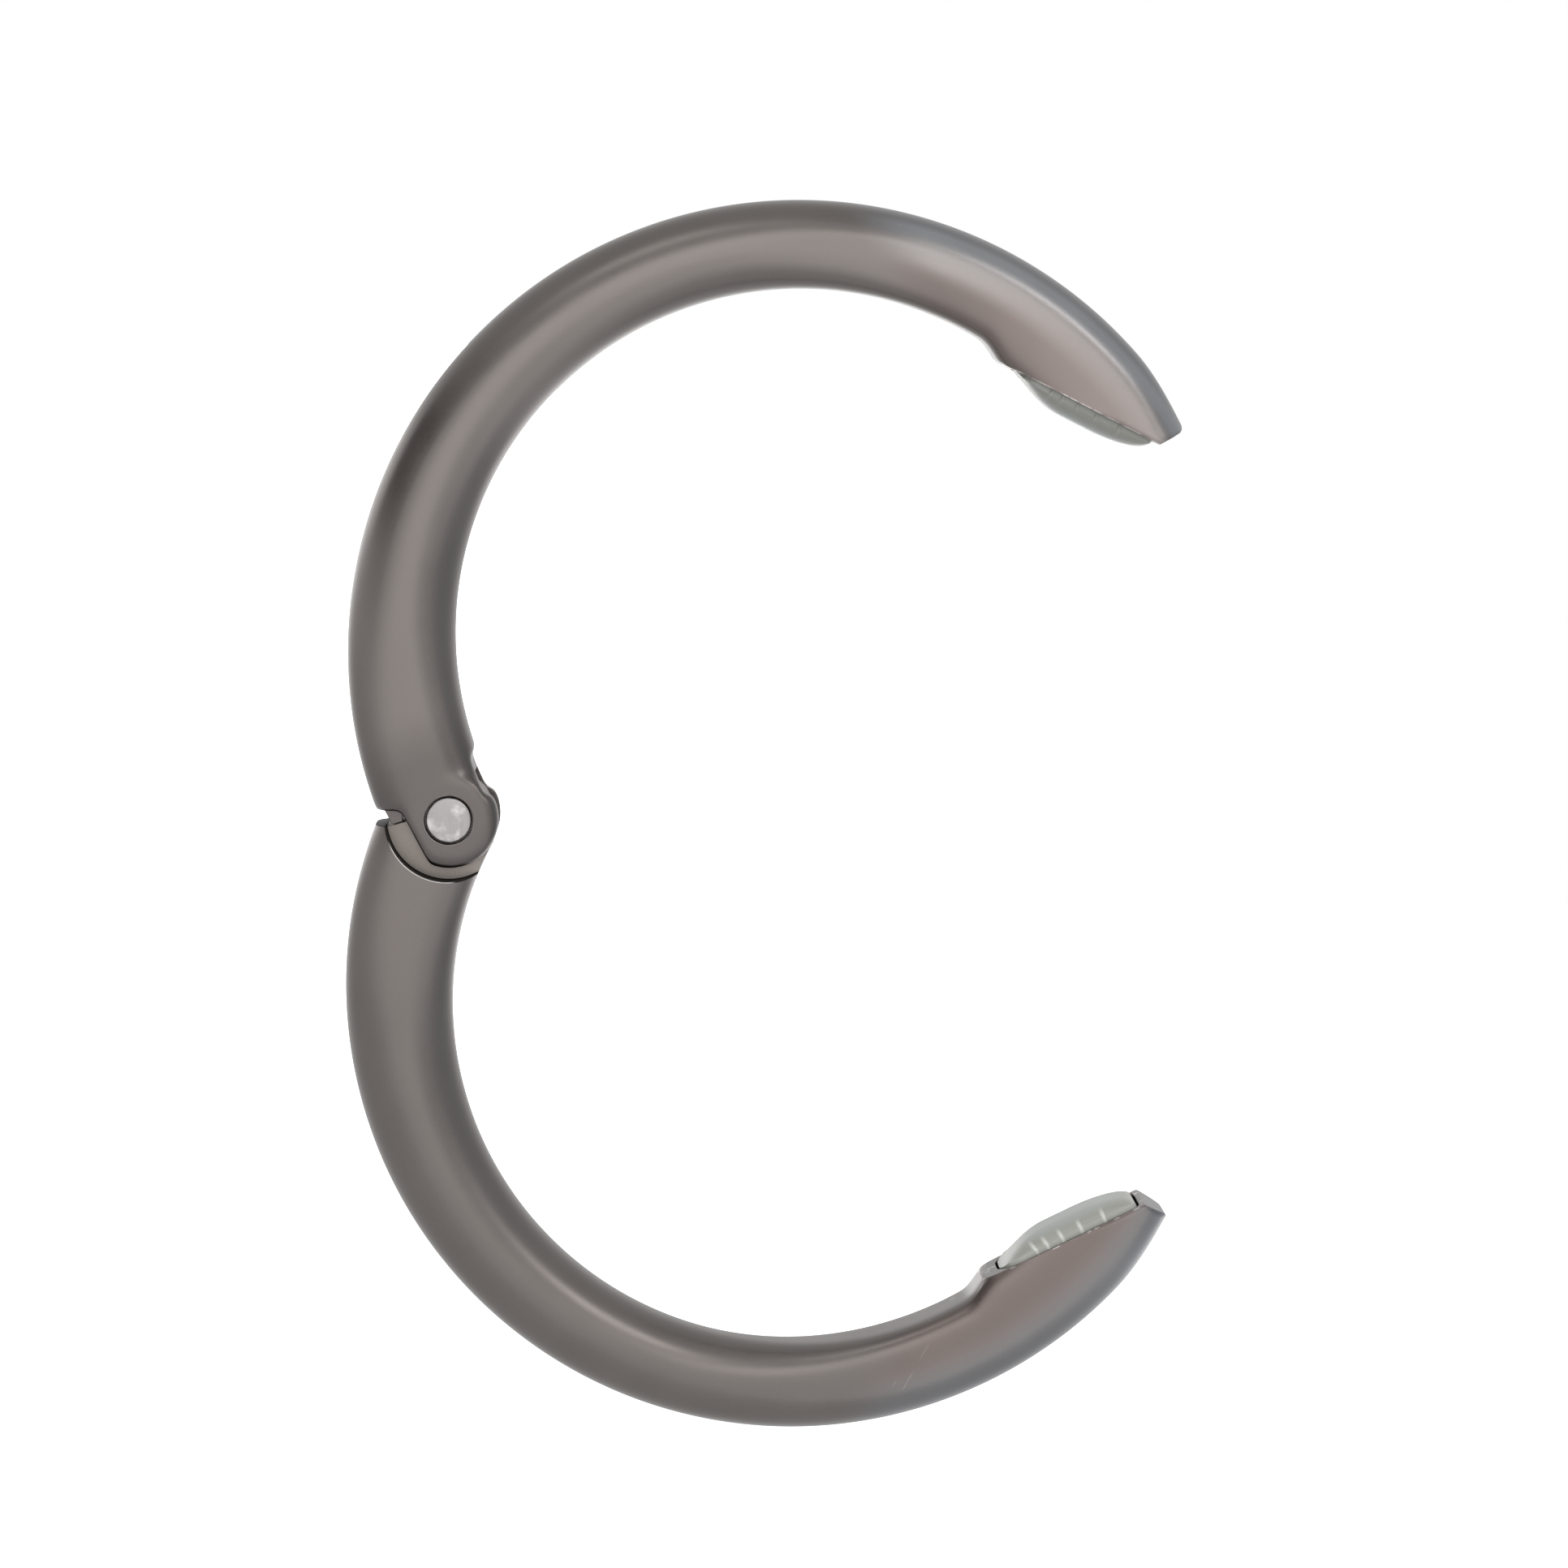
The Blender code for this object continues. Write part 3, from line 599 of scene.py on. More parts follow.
def tip_tools(side, back):
    """The closing line's cut, which starts at back, the seat's and the pocket's."""
    half = HINGE_DEPTH / 2 + PAST
    reach = RING_CENTRE.x + RING_RADIUS + PAST
    below = [(back, CLOSING_LINE), (reach, CLOSING_LINE), (reach, -RING_RADIUS), (back, -RING_RADIUS)]
    start, stop = PAD_START - SEAT_PAST, PAD_START + PAD_LENGTH + SEAT_PAST
    above = [along_seat(start, 0), along_seat(stop, 0)]
    above += [along_seat(stop, ARM_WIDTH), along_seat(start, ARM_WIDTH)]
    end = RING_CENTRE.x + RING_RADIUS - TIP_TAPER
    round_off = [(step.x + end - TIP_CORNER, step.y + CLOSING_LINE + TIP_CORNER) for step in TIP_BEND]
    outside = [(end - TIP_CORNER, -PAST), (end + PAST, -PAST), (end + PAST, CLOSING_LINE + TIP_CORNER)]
    corner = prism(outside + round_off, -half, half, side)
    return [prism(below, -half, half, side), prism(above, -half, half, side), pocket_tool(side), corner]


print("the pocket is", round((PAD_ROOT + PAD_CLEARANCE) / MM, 2), "mm deep")

# %% [markdown]
# ## The hinge's sizes
#
# The upper arm ends in a fork: two ears with a slot between them, closed at the back by a web. The
# lower arm ends in a tongue that fills the slot. Opened fully, the web meets a flat shelf cut across
# the tongue, and that is what stops the hinge.

# %% Ears, tongue, stop and recess
EAR_RADIUS = 4.5 * MM
EAR_THICKNESS = 1.95 * MM
EAR_EDGE = 0.9 * MM
EAR_OUTER_X = -3.5 * MM
KNUCKLE_RADIUS = 4.0 * MM
SLOT_CLEARANCE = 0.3 * MM
HALF_DEPTH = HINGE_DEPTH / 2
SLOT_HALF = HALF_DEPTH - EAR_THICKNESS
WASHER_ROOM = 0.5 * MM
TONGUE_HALF = SLOT_HALF - WASHER_ROOM
TONGUE_WALL = 0.8 * MM
SPRING_HALF = TONGUE_HALF - TONGUE_WALL
BORE_RADIUS = 1.55 * MM
HEAD_RADIUS = 2.08 * MM
HEAD_HEIGHT = 1.0 * MM
HEAD_CLEARANCE = 0.17 * MM
STOP_DISTANCE = 0.7 * MM
STOP_DEG = 77.4
STOP_GAP = 0.15 * MM
LIP_RADIUS = 5.7 * MM
LIP_CENTRE = (-0.1 * MM, -0.05 * MM)
tongue, slot_width = (round(2 * half / MM, 2) for half in (TONGUE_HALF, SLOT_HALF))
print("tongue", tongue, "mm thick in a slot of", slot_width, "mm")


# %% Lines that bound the hinge's cuts
def line_height(x, corner_x, corner_z, degrees):
    return corner_z + (x - corner_x) * math.tan(math.radians(degrees))


def stop_height(x, distance):
    normal = direction(STOP_DEG)
    return (distance - normal.x * x) / normal.y


def circle_segment(centre, radius, normal_deg, distance):
    reach = distance - direction(normal_deg).dot(Vector(centre))
    half_angle = math.degrees(math.acos(reach / radius))
    return arc(centre, radius, normal_deg - half_angle, normal_deg + half_angle)


def inner_edge_at_pin():
    offset = INSIDE_CENTRE - RING_CENTRE
    return RING_CENTRE.x + offset.x - math.sqrt(INSIDE_RADIUS**2 - offset.y**2)


print("the arm's inside is", round(inner_edge_at_pin() / MM, 2), "mm from the pin")


# %% [markdown]
# ## The upper arm
#
# On the real casting the arm's front flows into the ear without a line between them. Two bodies
# joined by a Boolean always show that line, so the ear's boss is joined to the rough arm, the hollow
# above it and the step beside it are cut, and only then is all of it rebuilt as one even skin by the
# Remesh modifier. Smooth lets this skin relax round the ear. Away from the hinge each point is then
# put back on the exact rule, which a remesh alone would blur. The crisp cuts come last.

# %% Join the ear's boss to the arm
ROUND_STEP_DEG = 10
upper_arm = grown("upper_arm_casting", arm_tree, ARM_SIZES)
faces = [polygon.vertices for polygon in upper_arm.data.polygons]
exact = BVHTree.FromPolygons([vertex.co for vertex in upper_arm.data.vertices], faces)
bend = [direction(turn) * EAR_EDGE for turn in range(0, 91, ROUND_STEP_DEG)]
corner = EAR_RADIUS - EAR_EDGE
rim = [(corner + step.x, HALF_DEPTH - EAR_EDGE + step.y) for step in bend]
profile = [(0, -HALF_DEPTH)] + [(radius, -y) for radius, y in reversed(rim)] + rim + [(0, HALF_DEPTH)]
past = HALF_DEPTH + PAST
reach = RING_CENTRE.x + RING_RADIUS + PAST
behind = -PIN_INSET - PAST
rough_end = [(behind, CLOSING_LINE), (reach, CLOSING_LINE), (reach, -RING_RADIUS), (behind, -RING_RADIUS)]
carve(upper_arm, prism(rough_end, -past, past))
carve(upper_arm, turned("tool", profile), operation="UNION")
print("arm and boss:", len(upper_arm.data.polygons), "faces,", open_edges(upper_arm), "open edges")

# %% Cut the hollow above the ear and the step beside it
RELIEF_TOP_Z, RELIEF_SIDE_Z, RELIEF_FOOT_Z = 4.4 * MM, 3.8 * MM, 0.6 * MM
RELIEF_SIDE_X, RELIEF_FOOT_X = 4.2 * MM, 3.9 * MM
SHOULDER_LINE = (-5.3 * MM, 3.55 * MM, -25.0)
inner_edge = inner_edge_at_pin()
relief = [
    (inner_edge + PAST, RELIEF_TOP_Z),
    (inner_edge, RELIEF_TOP_Z),
    (RELIEF_SIDE_X, RELIEF_SIDE_Z),
    (RELIEF_FOOT_X, RELIEF_FOOT_Z),
    (inner_edge, 0),
    (inner_edge + PAST, 0),
]
low_z = -EAR_RADIUS - PAST
beside_ear = [
    (behind, low_z),
    (behind, line_height(behind, *SHOULDER_LINE)),
    (EAR_OUTER_X, line_height(EAR_OUTER_X, *SHOULDER_LINE)),
    (EAR_OUTER_X, low_z),
]
carve(upper_arm, prism(relief, -past, past), prism(beside_ear, -past, past))
print("rough casting:", len(upper_arm.data.polygons), "faces,", open_edges(upper_arm), "open edges")

# %% Rebuild it as one skin and let it relax round the ear
SKIN_GRAIN = 0.23 * MM
RELAX_REACH = 8 * MM
EXACT_REACH = 9 * MM
FADE = 4 * MM


def share_beyond(point, reach):
    """0 up to a reach from the pin's axis, and 1 from a fade's width further out."""
    return min(1.0, max(0.0, (Vector((point.x, point.z)).length - reach) / FADE))


remesh = upper_arm.modifiers.new("one_skin", "REMESH")
remesh.mode = "VOXEL"
remesh.voxel_size = SKIN_GRAIN
settle(upper_arm)
group = upper_arm.vertex_groups.new(name="round_the_ear")
for vertex in upper_arm.data.vertices:
    group.add([vertex.index], 1.0 - share_beyond(vertex.co, RELAX_REACH), "REPLACE")
relax = upper_arm.modifiers.new("relax", "SMOOTH")
relax.vertex_group = group.name
relax.factor = 0.5
relax.iterations = 24
settle(upper_arm)
for vertex in upper_arm.data.vertices:
    share = share_beyond(vertex.co, EXACT_REACH)
    if share:
        vertex.co = vertex.co.lerp(exact.find_nearest(vertex.co)[0], share)
upper_arm.vertex_groups.clear()
print("one skin:", len(upper_arm.data.polygons), "faces,", open_edges(upper_arm), "open edges")

# %% Cut the tip and set the web
WEB_OUTER_X, WEB_INNER_X = -4.9 * MM, -1.6 * MM
WEB_TOP = 5.45 * MM
WEB_CLEARANCE = 0.1 * MM
carve(upper_arm, *tip_tools(1, RING_CENTRE.x))
web_half = SLOT_HALF - WEB_CLEARANCE
web = [(WEB_OUTER_X, 0), (WEB_INNER_X, 0), (WEB_INNER_X, WEB_TOP), (WEB_OUTER_X, WEB_TOP)]
carve(upper_arm, prism(web, -web_half, web_half), operation="UNION")
print("with its web:", len(upper_arm.data.polygons), "faces")

# %% Cut the slot and the rivet's holes
SLOT_SHOULDER_DEG = 40.0
stop = STOP_DISTANCE + STOP_GAP
slot_radius = KNUCKLE_RADIUS + SLOT_CLEARANCE
half_angle = math.degrees(math.acos(stop / slot_radius))
near_x = EAR_RADIUS + PAST
slot = [(behind, low_z), (behind, stop_height(behind, stop))]
slot += arc((0, 0), slot_radius, STOP_DEG + half_angle, SLOT_SHOULDER_DEG)
slot += [(near_x, slot[-1][1]), (near_x, low_z)]
sink = HALF_DEPTH - HEAD_HEIGHT - HEAD_CLEARANCE
head_hole = HEAD_RADIUS + HEAD_CLEARANCE
carve(
    upper_arm,
    prism(slot, -SLOT_HALF, SLOT_HALF),
    drum(BORE_RADIUS, -past, past),
    drum(head_hole, -past, -sink),
    drum(head_hole, sink, past),
)
moved(upper_arm, UPPER_PLACE)
print("upper arm:", len(upper_arm.data.loop_triangles), "triangles,", open_edges(upper_arm), "open edges")

# %% [markdown]
# ## The lower arm
#
# The lower arm needs no remesh, because all its edges are true ones: the rule's own skin is kept and
# carved. Its tongue stands in a round recess on both faces. Seen a little from above, the recess's
# wall shows as a dark line under the lip, thin at the side and broader at the bottom, and its finish
# paints that wall nearly black as shade.

# %% Cut the end and the shelf
END_CORNER_Z, END_INNER_X = 3.85 * MM, -4.6 * MM
END_SLOPE_DEG = -30.0
SHELF_INSET = 0.05 * MM
lower_arm = grown("lower_arm_casting", arm_tree, {**ARM_SIZES, "Side": -1.0})
drop = -RING_CENTRE.y + END_CORNER_Z
end_line = (RING_CENTRE.x - math.sqrt(RING_RADIUS**2 - drop**2), END_CORNER_Z, END_SLOPE_DEG)
end_cut = [
    (behind, line_height(behind, *end_line)),
    (END_INNER_X, line_height(END_INNER_X, *end_line)),
    (END_INNER_X, -EAR_RADIUS),
    (behind, -EAR_RADIUS),
]
shelf_deg = STOP_DEG + math.degrees(OPENING)
shelf = circle_segment(LIP_CENTRE, LIP_RADIUS - SHELF_INSET, shelf_deg, STOP_DISTANCE)
carve(lower_arm, *tip_tools(-1, behind), prism(end_cut, -past, past, -1), prism(shelf, -past, past))
print("lower arm with its shelf:", len(lower_arm.data.polygons), "faces")


# %% Cut the recesses round the tongue
def recess(side):
    """One face's recess round the tongue."""
    return drum(LIP_RADIUS, *sorted((side * (HALF_DEPTH + PAST), side * TONGUE_HALF)), LIP_CENTRE)


carve(lower_arm, drum(KNUCKLE_RADIUS, -HALF_DEPTH, HALF_DEPTH), operation="UNION")
carve(lower_arm, recess(-1), recess(1))
print("lower arm with recesses:", len(lower_arm.data.polygons), "faces")

# %% Hollow the tongue for the spring
COIL_RADIUS = 2.05 * MM
WIRE_RADIUS = 0.25 * MM
WIRE_ROOM = 0.3 * MM
SPRING_ROOM = COIL_RADIUS + WIRE_RADIUS + WIRE_ROOM
FIXED_LEG_DEG, MOVING_LEG_DEG = 100.0, 252.0
FIXED_LEG_REACH, MOVING_LEG_REACH = 5.6 * MM, 3.6 * MM
SWEEP_ROOM_DEG = 9.0
ROOM_STEPS = 24


def room_arc(radius, start, end):
    return arc((0, 0), radius, start, end, ROOM_STEPS)


first, last = -SWEEP_ROOM_DEG, math.degrees(OPENING) + SWEEP_ROOM_DEG
outline = room_arc(KNUCKLE_RADIUS + PAST, FIXED_LEG_DEG + first, FIXED_LEG_DEG + last)
outline += room_arc(SPRING_ROOM, FIXED_LEG_DEG + last, MOVING_LEG_DEG + first)
outline += room_arc(MOVING_LEG_REACH + WIRE_ROOM, MOVING_LEG_DEG + first, MOVING_LEG_DEG + last)
outline += room_arc(SPRING_ROOM, MOVING_LEG_DEG + last, FIXED_LEG_DEG + first + 360)
carve(lower_arm, prism(outline, -SPRING_HALF, SPRING_HALF), drum(BORE_RADIUS, -past, past))
moved(lower_arm, LOWER_PLACE)
print("lower arm:", len(lower_arm.data.polygons), "faces,", open_edges(lower_arm), "open edges")

# %% [markdown]
# ## The pads
#
# Each pad is a block of clear grey-green silicone, crowned along and across, with a rim where it
# leaves the metal and short ribs on its sides. It too follows a rule, so a second tree makes it: a
# cylinder's points are set to the pad's section, station by station. The rule also writes down two
# facts for the material, as named attributes: how high a point stands and how much of a rib it is.

# %% The pad's named sizes
PAD_SIZES = {
    "Section Points": 96,
    "Stations": 260,
    "Length": PAD_LENGTH,
    "Width": PAD_WIDTH,
    "Height": PAD_HEIGHT,
    "Root": PAD_ROOT,
    "Rim": 0.3 * MM,
    "Land Width": 2.4 * MM,
    "Land Share": 0.2,
    "Inner Power": 1.4,
    "Tip Power": 0.42,
    "First Rib": 3.85 * MM,
    "Rib Spacing": 0.9 * MM,
    "Rib Growth": 0.2 * MM,
    "Rib Width": 0.24 * MM,
    "Rib Stand": 0.14 * MM,
}
print(len(PAD_SIZES), "sizes for a pad")


# %% The pad's plan and section as nodes
RIM_LEVEL = -0.0001
ROOT_POWER = 0.25


def plan_reading(share):
    """The sum that plan_share does, in nodes."""
    plan = None
    for place, (start, depth) in ((-share, INNER_ROUNDING), (share, TIP_ROUNDING)):
        beyond = ((place - start) / (1 - start)).sum("MAXIMUM", 0.0)
        rounding = (1.0 - depth * beyond.sum("POWER", ROUNDING_POWER)).sum("POWER", 1 / ROUNDING_POWER)
        plan = plan * rounding if plan else rounding
    return plan


def pad_section(size, share, across, rise):
    """How far across and how high a point is, and 1 if it belongs to the crown above the rim."""
    plan = plan_reading(share)
    beyond = ((share.size() - size["Land Share"]) / (1.0 - size["Land Share"])).sum("MAXIMUM", 0.0)
    power = size["Inner Power"].toward(size["Tip Power"], share.above(0.0))
    top = size["Height"] * (1.0 - beyond * beyond).sum("MAXIMUM", 0.0).sum("POWER", power)
    rim = size["Rim"].sum("MINIMUM", top)

    half = size["Width"] * 0.5 * plan
    land = size["Land Width"] * 0.5 * plan
    crown_y = (land + (half - land) * across.size()) * across.sum("SIGN")
    crown_z = rim + (top - rim) * rise
    root_y = half * across.signed_power(ROOT_POWER)
    root_z = size["Root"] * rise.signed_power(ROOT_POWER)
    crown = rise.above(RIM_LEVEL)
    return root_y.toward(crown_y, crown), root_z.toward(crown_z, crown), crown


print("the pad's land is", round(PAD_SIZES["Land Width"] / MM, 1), "mm wide")


# %% The pad's ribs as nodes
RIBS = 5
RIB_LEAN, LEAN_STEP = 0.25, 0.08
RIB_FULL_Z, RIB_GONE_Z = 0.5 * MM, 1.3 * MM


def ribs_reading(size, distance, z):
    """How much of a rib a point is. Each rib leans a little less than the one before it."""
    ribs = None
    for index in range(RIBS):
        place = size["First Rib"] + size["Rib Spacing"] * index + size["Rib Growth"] * (index * index)
        lean = z * (RIB_LEAN - LEAN_STEP * index)
        rib = (distance - place + lean).size().eased(size["Rib Width"], 0.0)
        ribs = ribs + rib if ribs else rib
    return ribs * z.eased(RIB_GONE_Z, RIB_FULL_Z)


print(RIBS, "ribs on each side of a pad")


# %% The rule for a point of the pad
def noted(tree, geometry, name, reading):
    """Writes a reading on every point under a name that a material can ask for."""
    note = tree.nodes.new("GeometryNodeStoreNamedAttribute")
    note.data_type = "FLOAT"
    note.inputs["Name"].default_value = name
    tree.links.new(geometry, note.inputs["Geometry"])
    plug(tree, reading, note.inputs["Value"])
    return note.outputs[0]


def pad_rule():
    tree, size = sized_tree("pad_by_rule", PAD_SIZES)
    tube, (across, rise, along) = unit_tube(tree, size)
    share = (along * (math.pi / 2)).sum("SINE")
    y, z, crown = pad_section(size, share, across, rise)
    distance = (share + 1.0) * 0.5 * size["Length"]
    ribs = ribs_reading(size, distance, z) * crown * across.size().eased(0.3, 0.7)
    y = y + ribs * size["Rib Stand"] * across.sum("SIGN")
    told = noted(tree, noted(tree, tube, "rib", ribs), "rise", z)
    finish_tree(tree, set_points(tree, told, distance, y, z), grey_silicone)
    return tree


pad_tree = pad_rule()
print(pad_tree.name, "has", len(pad_tree.nodes), "nodes")

# %% Set a pad in each arm
pads = []
for name, side, place in (("upper_grip_pad", 1, UPPER_PLACE), ("lower_grip_pad", -1, LOWER_PLACE)):
    pad = grown(name, pad_tree, PAD_SIZES)
    moved(pad, place @ seat_matrix(side) @ Matrix.Translation((PAD_START, 0, 0)))
    pads.append(pad)
    print(name, len(pad.data.polygons), "faces,", open_edges(pad), "open edges")
upper_pad, lower_pad = pads

# %% [markdown]
# ## The rivet
#
# The pin is a steel rivet. Its one-piece head shines in the front ear, and a cap is pressed on its
# spigot behind. Both are turned shapes, so they are spun from a half profile, with a slight dome
# and a rounded rim that catch the light as a flat disc never does.

# %% Turn the pin and its cap
SHAFT_RADIUS = 1.5 * MM
SPIGOT_RADIUS = 1.0 * MM
HEAD_EDGE = 0.2 * MM
HEAD_DOME = 0.06 * MM
DOME_STEPS = 12
FACE_DROP = 0.05 * MM
SPIGOT_CLEARANCE = 0.05 * MM
FACE = HALF_DEPTH - FACE_DROP


def domed_face(start_radius):
    """Points of radius and height from the head's middle, or from its bore, round its rim."""
    flat = HEAD_RADIUS - HEAD_EDGE
    width = flat - start_radius
    radii = [start_radius + width * index / DOME_STEPS for index in range(DOME_STEPS + 1)]
    points = [(radius, FACE - HEAD_DOME * (radius / flat) ** 2) for radius in radii]
    for turn in range(75, -1, -15):
        step = direction(turn) * HEAD_EDGE
        points.append((flat + step.x, FACE - HEAD_DOME - HEAD_EDGE + step.y))
    return points


front = [(radius, -y) for radius, y in domed_face(0)]
shaft = [
    (HEAD_RADIUS, -FACE + HEAD_HEIGHT),
    (SHAFT_RADIUS, -FACE + HEAD_HEIGHT),
    (SHAFT_RADIUS, FACE - HEAD_HEIGHT),
    (SPIGOT_RADIUS, FACE - HEAD_HEIGHT),
    (SPIGOT_RADIUS, FACE),
    (0, FACE),
]
rivet = moved(turned("rivet_pin", front + shaft), Matrix.Translation(PIN))
bore = SPIGOT_RADIUS + SPIGOT_CLEARANCE
seat = FACE - HEAD_HEIGHT + SPIGOT_CLEARANCE
cap_profile = domed_face(bore) + [(HEAD_RADIUS, seat), (bore, seat)]
cap_profile.append(cap_profile[0])
cap = moved(turned("rivet_cap_pressed", cap_profile), Matrix.Translation(PIN))
for piece in (rivet, cap):
    print(piece.name, len(piece.data.polygons), "faces,", open_edges(piece), "open edges")

# %% [markdown]
# ## The spring
#
# A torsion spring of thin wire sits round the pin inside the tongue. A coil is the plainest rule of
# all: a line of points is wound up by its own index, and Curve to Mesh runs the wire along it. One
# leg at each end stands straight out, to bear on the fork and on the tongue.

# %% Wind the spring by rule
END_ROOM = 0.1 * MM
TURNS = 2
SPRING_SIZES = {
    "Points": 180,
    "Wire Points": 16,
    "Coil Radius": COIL_RADIUS,
    "Wire Radius": WIRE_RADIUS,
    "Half Width": SPRING_HALF - END_ROOM - WIRE_RADIUS,
    "Start Degrees": FIXED_LEG_DEG,
    "Sweep Degrees": 360.0 * TURNS + MOVING_LEG_DEG - FIXED_LEG_DEG,
    "Start Reach": FIXED_LEG_REACH,
    "End Reach": MOVING_LEG_REACH,
}


def spring_rule():
    tree, size = sized_tree("spring_by_rule", SPRING_SIZES)
    line = tree.nodes.new("GeometryNodeMeshLine")
    plug(tree, size["Points"], line.inputs["Count"])
    index = Reading(tree, tree.nodes.new("GeometryNodeInputIndex").outputs[0])
    last = size["Points"] - 1.0
    share = ((index - 1.0) / (last - 2.0)).sum("MAXIMUM", 0.0).sum("MINIMUM", 1.0)
    turn = (size["Start Degrees"] + size["Sweep Degrees"] * share) * (math.pi / 180)
    first_point = 1.0 - index.above(0.5)
    last_point = index.above(last - 0.5)
    radius = size["Coil Radius"].toward(size["Start Reach"], first_point)
    radius = radius.toward(size["End Reach"], last_point)
    height = size["Half Width"] * (1.0 - share * 2.0)
    x, z = radius * turn.sum("COSINE"), radius * turn.sum("SINE")
    wound = set_points(tree, line.outputs[0], x, height, z)
    path = tree.nodes.new("GeometryNodeMeshToCurve")
    wire = tree.nodes.new("GeometryNodeCurvePrimitiveCircle")
    plug(tree, size["Wire Points"], wire.inputs["Resolution"])
    plug(tree, size["Wire Radius"], wire.inputs["Radius"])
    skin = tree.nodes.new("GeometryNodeCurveToMesh")
    skin.inputs["Fill Caps"].default_value = True
    tree.links.new(wound, path.inputs["Mesh"])
    tree.links.new(path.outputs[0], skin.inputs["Curve"])
    tree.links.new(wire.outputs[0], skin.inputs["Profile Curve"])
    finish_tree(tree, skin.outputs[0], spring_wire)
    return tree


spring = moved(grown("wound_spring", spring_rule(), SPRING_SIZES), UPPER_PLACE)
print(spring.name, len(spring.data.polygons), "faces,", open_edges(spring), "open edges")

# %% [markdown]
# ## Smooth skins, crisp cuts
#
# Smooth shading blends the light from face to face, and edges sharper than a set angle are kept out
# of the blend. The two washers are plain discs in the solid model already, so those nodes stay.

# %% Shade, attach and stand in for the solids
def coat(piece, finish):
    piece.data.materials.clear()
    piece.data.materials.append(finish)
    piece.data.polygons.foreach_set("material_index", [0] * len(piece.data.polygons))


dressed = {
    upper_arm: ("upper", "upper_arm", "gunmetal", gunmetal_upper),
    lower_arm: ("lower", "lower_arm", "gunmetal", gunmetal_lower),
    rivet: ("upper", "hinge_pin", "pin_steel", brushed_steel),
    cap: ("upper", "rivet_cap", "pin_steel", brushed_steel),
    spring: ("upper", "torsion_spring", "spring_steel", spring_wire),
    upper_pad: ("upper", "upper_pad", "pad_silicone", grey_silicone),
    lower_pad: ("lower", "lower_pad", "pad_silicone", grey_silicone),
}
SHARP_DEG = 32
for piece, (body, node, slot, finish) in dressed.items():
    coat(piece, finish)
    piece.data.shade_smooth()
    piece.data.set_sharp_from_angle(angle=math.radians(SHARP_DEG))
    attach(piece, body)
    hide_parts(node)
    print(piece.name, "stands for", node, "in", finish.name)
for name in ("front_washer", "rear_washer"):
    coat(frame["nodes"][name], black_nylon)

# %% [markdown]
# ## Finishes
#
# Four effects are used by more than one finish, so each is a node group with named sockets: the
# clouds and the fine grain that plating leaves on a casting, the wear along every edge, scratches as
# thin as a hair, and brushed streaks. All of them read the object's own coordinates, so they stay
# put when the hinge turns.


# %% Start a node group
def shader_group(name, inputs, outputs):
    """An empty shader group, its input readings by name, and its output sockets."""
    group = bpy.data.node_groups.new(name, "ShaderNodeTree")
    for title, kind, value in inputs:
        socket = group.interface.new_socket(title, in_out="INPUT", socket_type=kind)
        if value is not None:
            socket.default_value = value
    for title in outputs:
        group.interface.new_socket(title, in_out="OUTPUT", socket_type="NodeSocketFloat")
    given = group.nodes.new("NodeGroupInput").outputs
    return group, given, group.nodes.new("NodeGroupOutput").inputs


def noise(tree, place, scale, detail=2.0, roughness=0.5):
    """Noise from 0 to 1 at a place. The scale is in features a metre."""
    node = tree.nodes.new("ShaderNodeTexNoise")
    tree.links.new(place, node.inputs["Vector"])
    plug(tree, scale, node.inputs["Scale"])
    node.inputs["Detail"].default_value = detail
    node.inputs["Roughness"].default_value = roughness
    return Reading(tree, node.outputs[0])


print("noise scales are in features a metre")


# %% Clouds, grain and worn edges
def cast_clouds():
    """Clouds in the plating and the grain under it."""
    inputs = [("Place", "NodeSocketVector", None), ("Cloud Scale", "NodeSocketFloat", 160.0)]
    inputs.append(("Grain Scale", "NodeSocketFloat", 4200.0))
    group, given, result = shader_group("cast_clouds", inputs, ["Clouds", "Grain"])
    clouds = noise(group, given["Place"], Reading(group, given["Cloud Scale"]), 4.0)
    grain = noise(group, given["Place"], Reading(group, given["Grain Scale"]), 3.0, 0.65)
    plug(group, clouds, result["Clouds"])
    plug(group, grain, result["Grain"])
    return group


WEAR_RADIUS = 0.16 * MM
BEVEL_SAMPLES = 6


def worn_edges():
    """1 on the edges that use rubs bright, broken up by noise."""
    inputs = [("Place", "NodeSocketVector", None), ("Amount", "NodeSocketFloat", 1.0)]
    group, given, result = shader_group("worn_edges", inputs, ["Wear"])
    bevel = group.nodes.new("ShaderNodeBevel")
    bevel.samples = BEVEL_SAMPLES
    bevel.inputs["Radius"].default_value = WEAR_RADIUS
    true_normal = group.nodes.new("ShaderNodeNewGeometry").outputs["Normal"]
    dot = group.nodes.new("ShaderNodeVectorMath")
    dot.operation = "DOT_PRODUCT"
    group.links.new(bevel.outputs[0], dot.inputs[0])
    group.links.new(true_normal, dot.inputs[1])
    bend = (1.0 - Reading(group, dot.outputs["Value"])).eased(0.02, 0.16)
    patches = noise(group, given["Place"], 900.0, 3.0, 0.6).eased(0.38, 0.62)
    plug(group, bend * (0.35 + 0.65 * patches) * Reading(group, given["Amount"]), result["Wear"])
    return group


CAST, WORN = cast_clouds(), worn_edges()
print("wear reaches", round(WEAR_RADIUS / MM, 2), "mm round an edge")


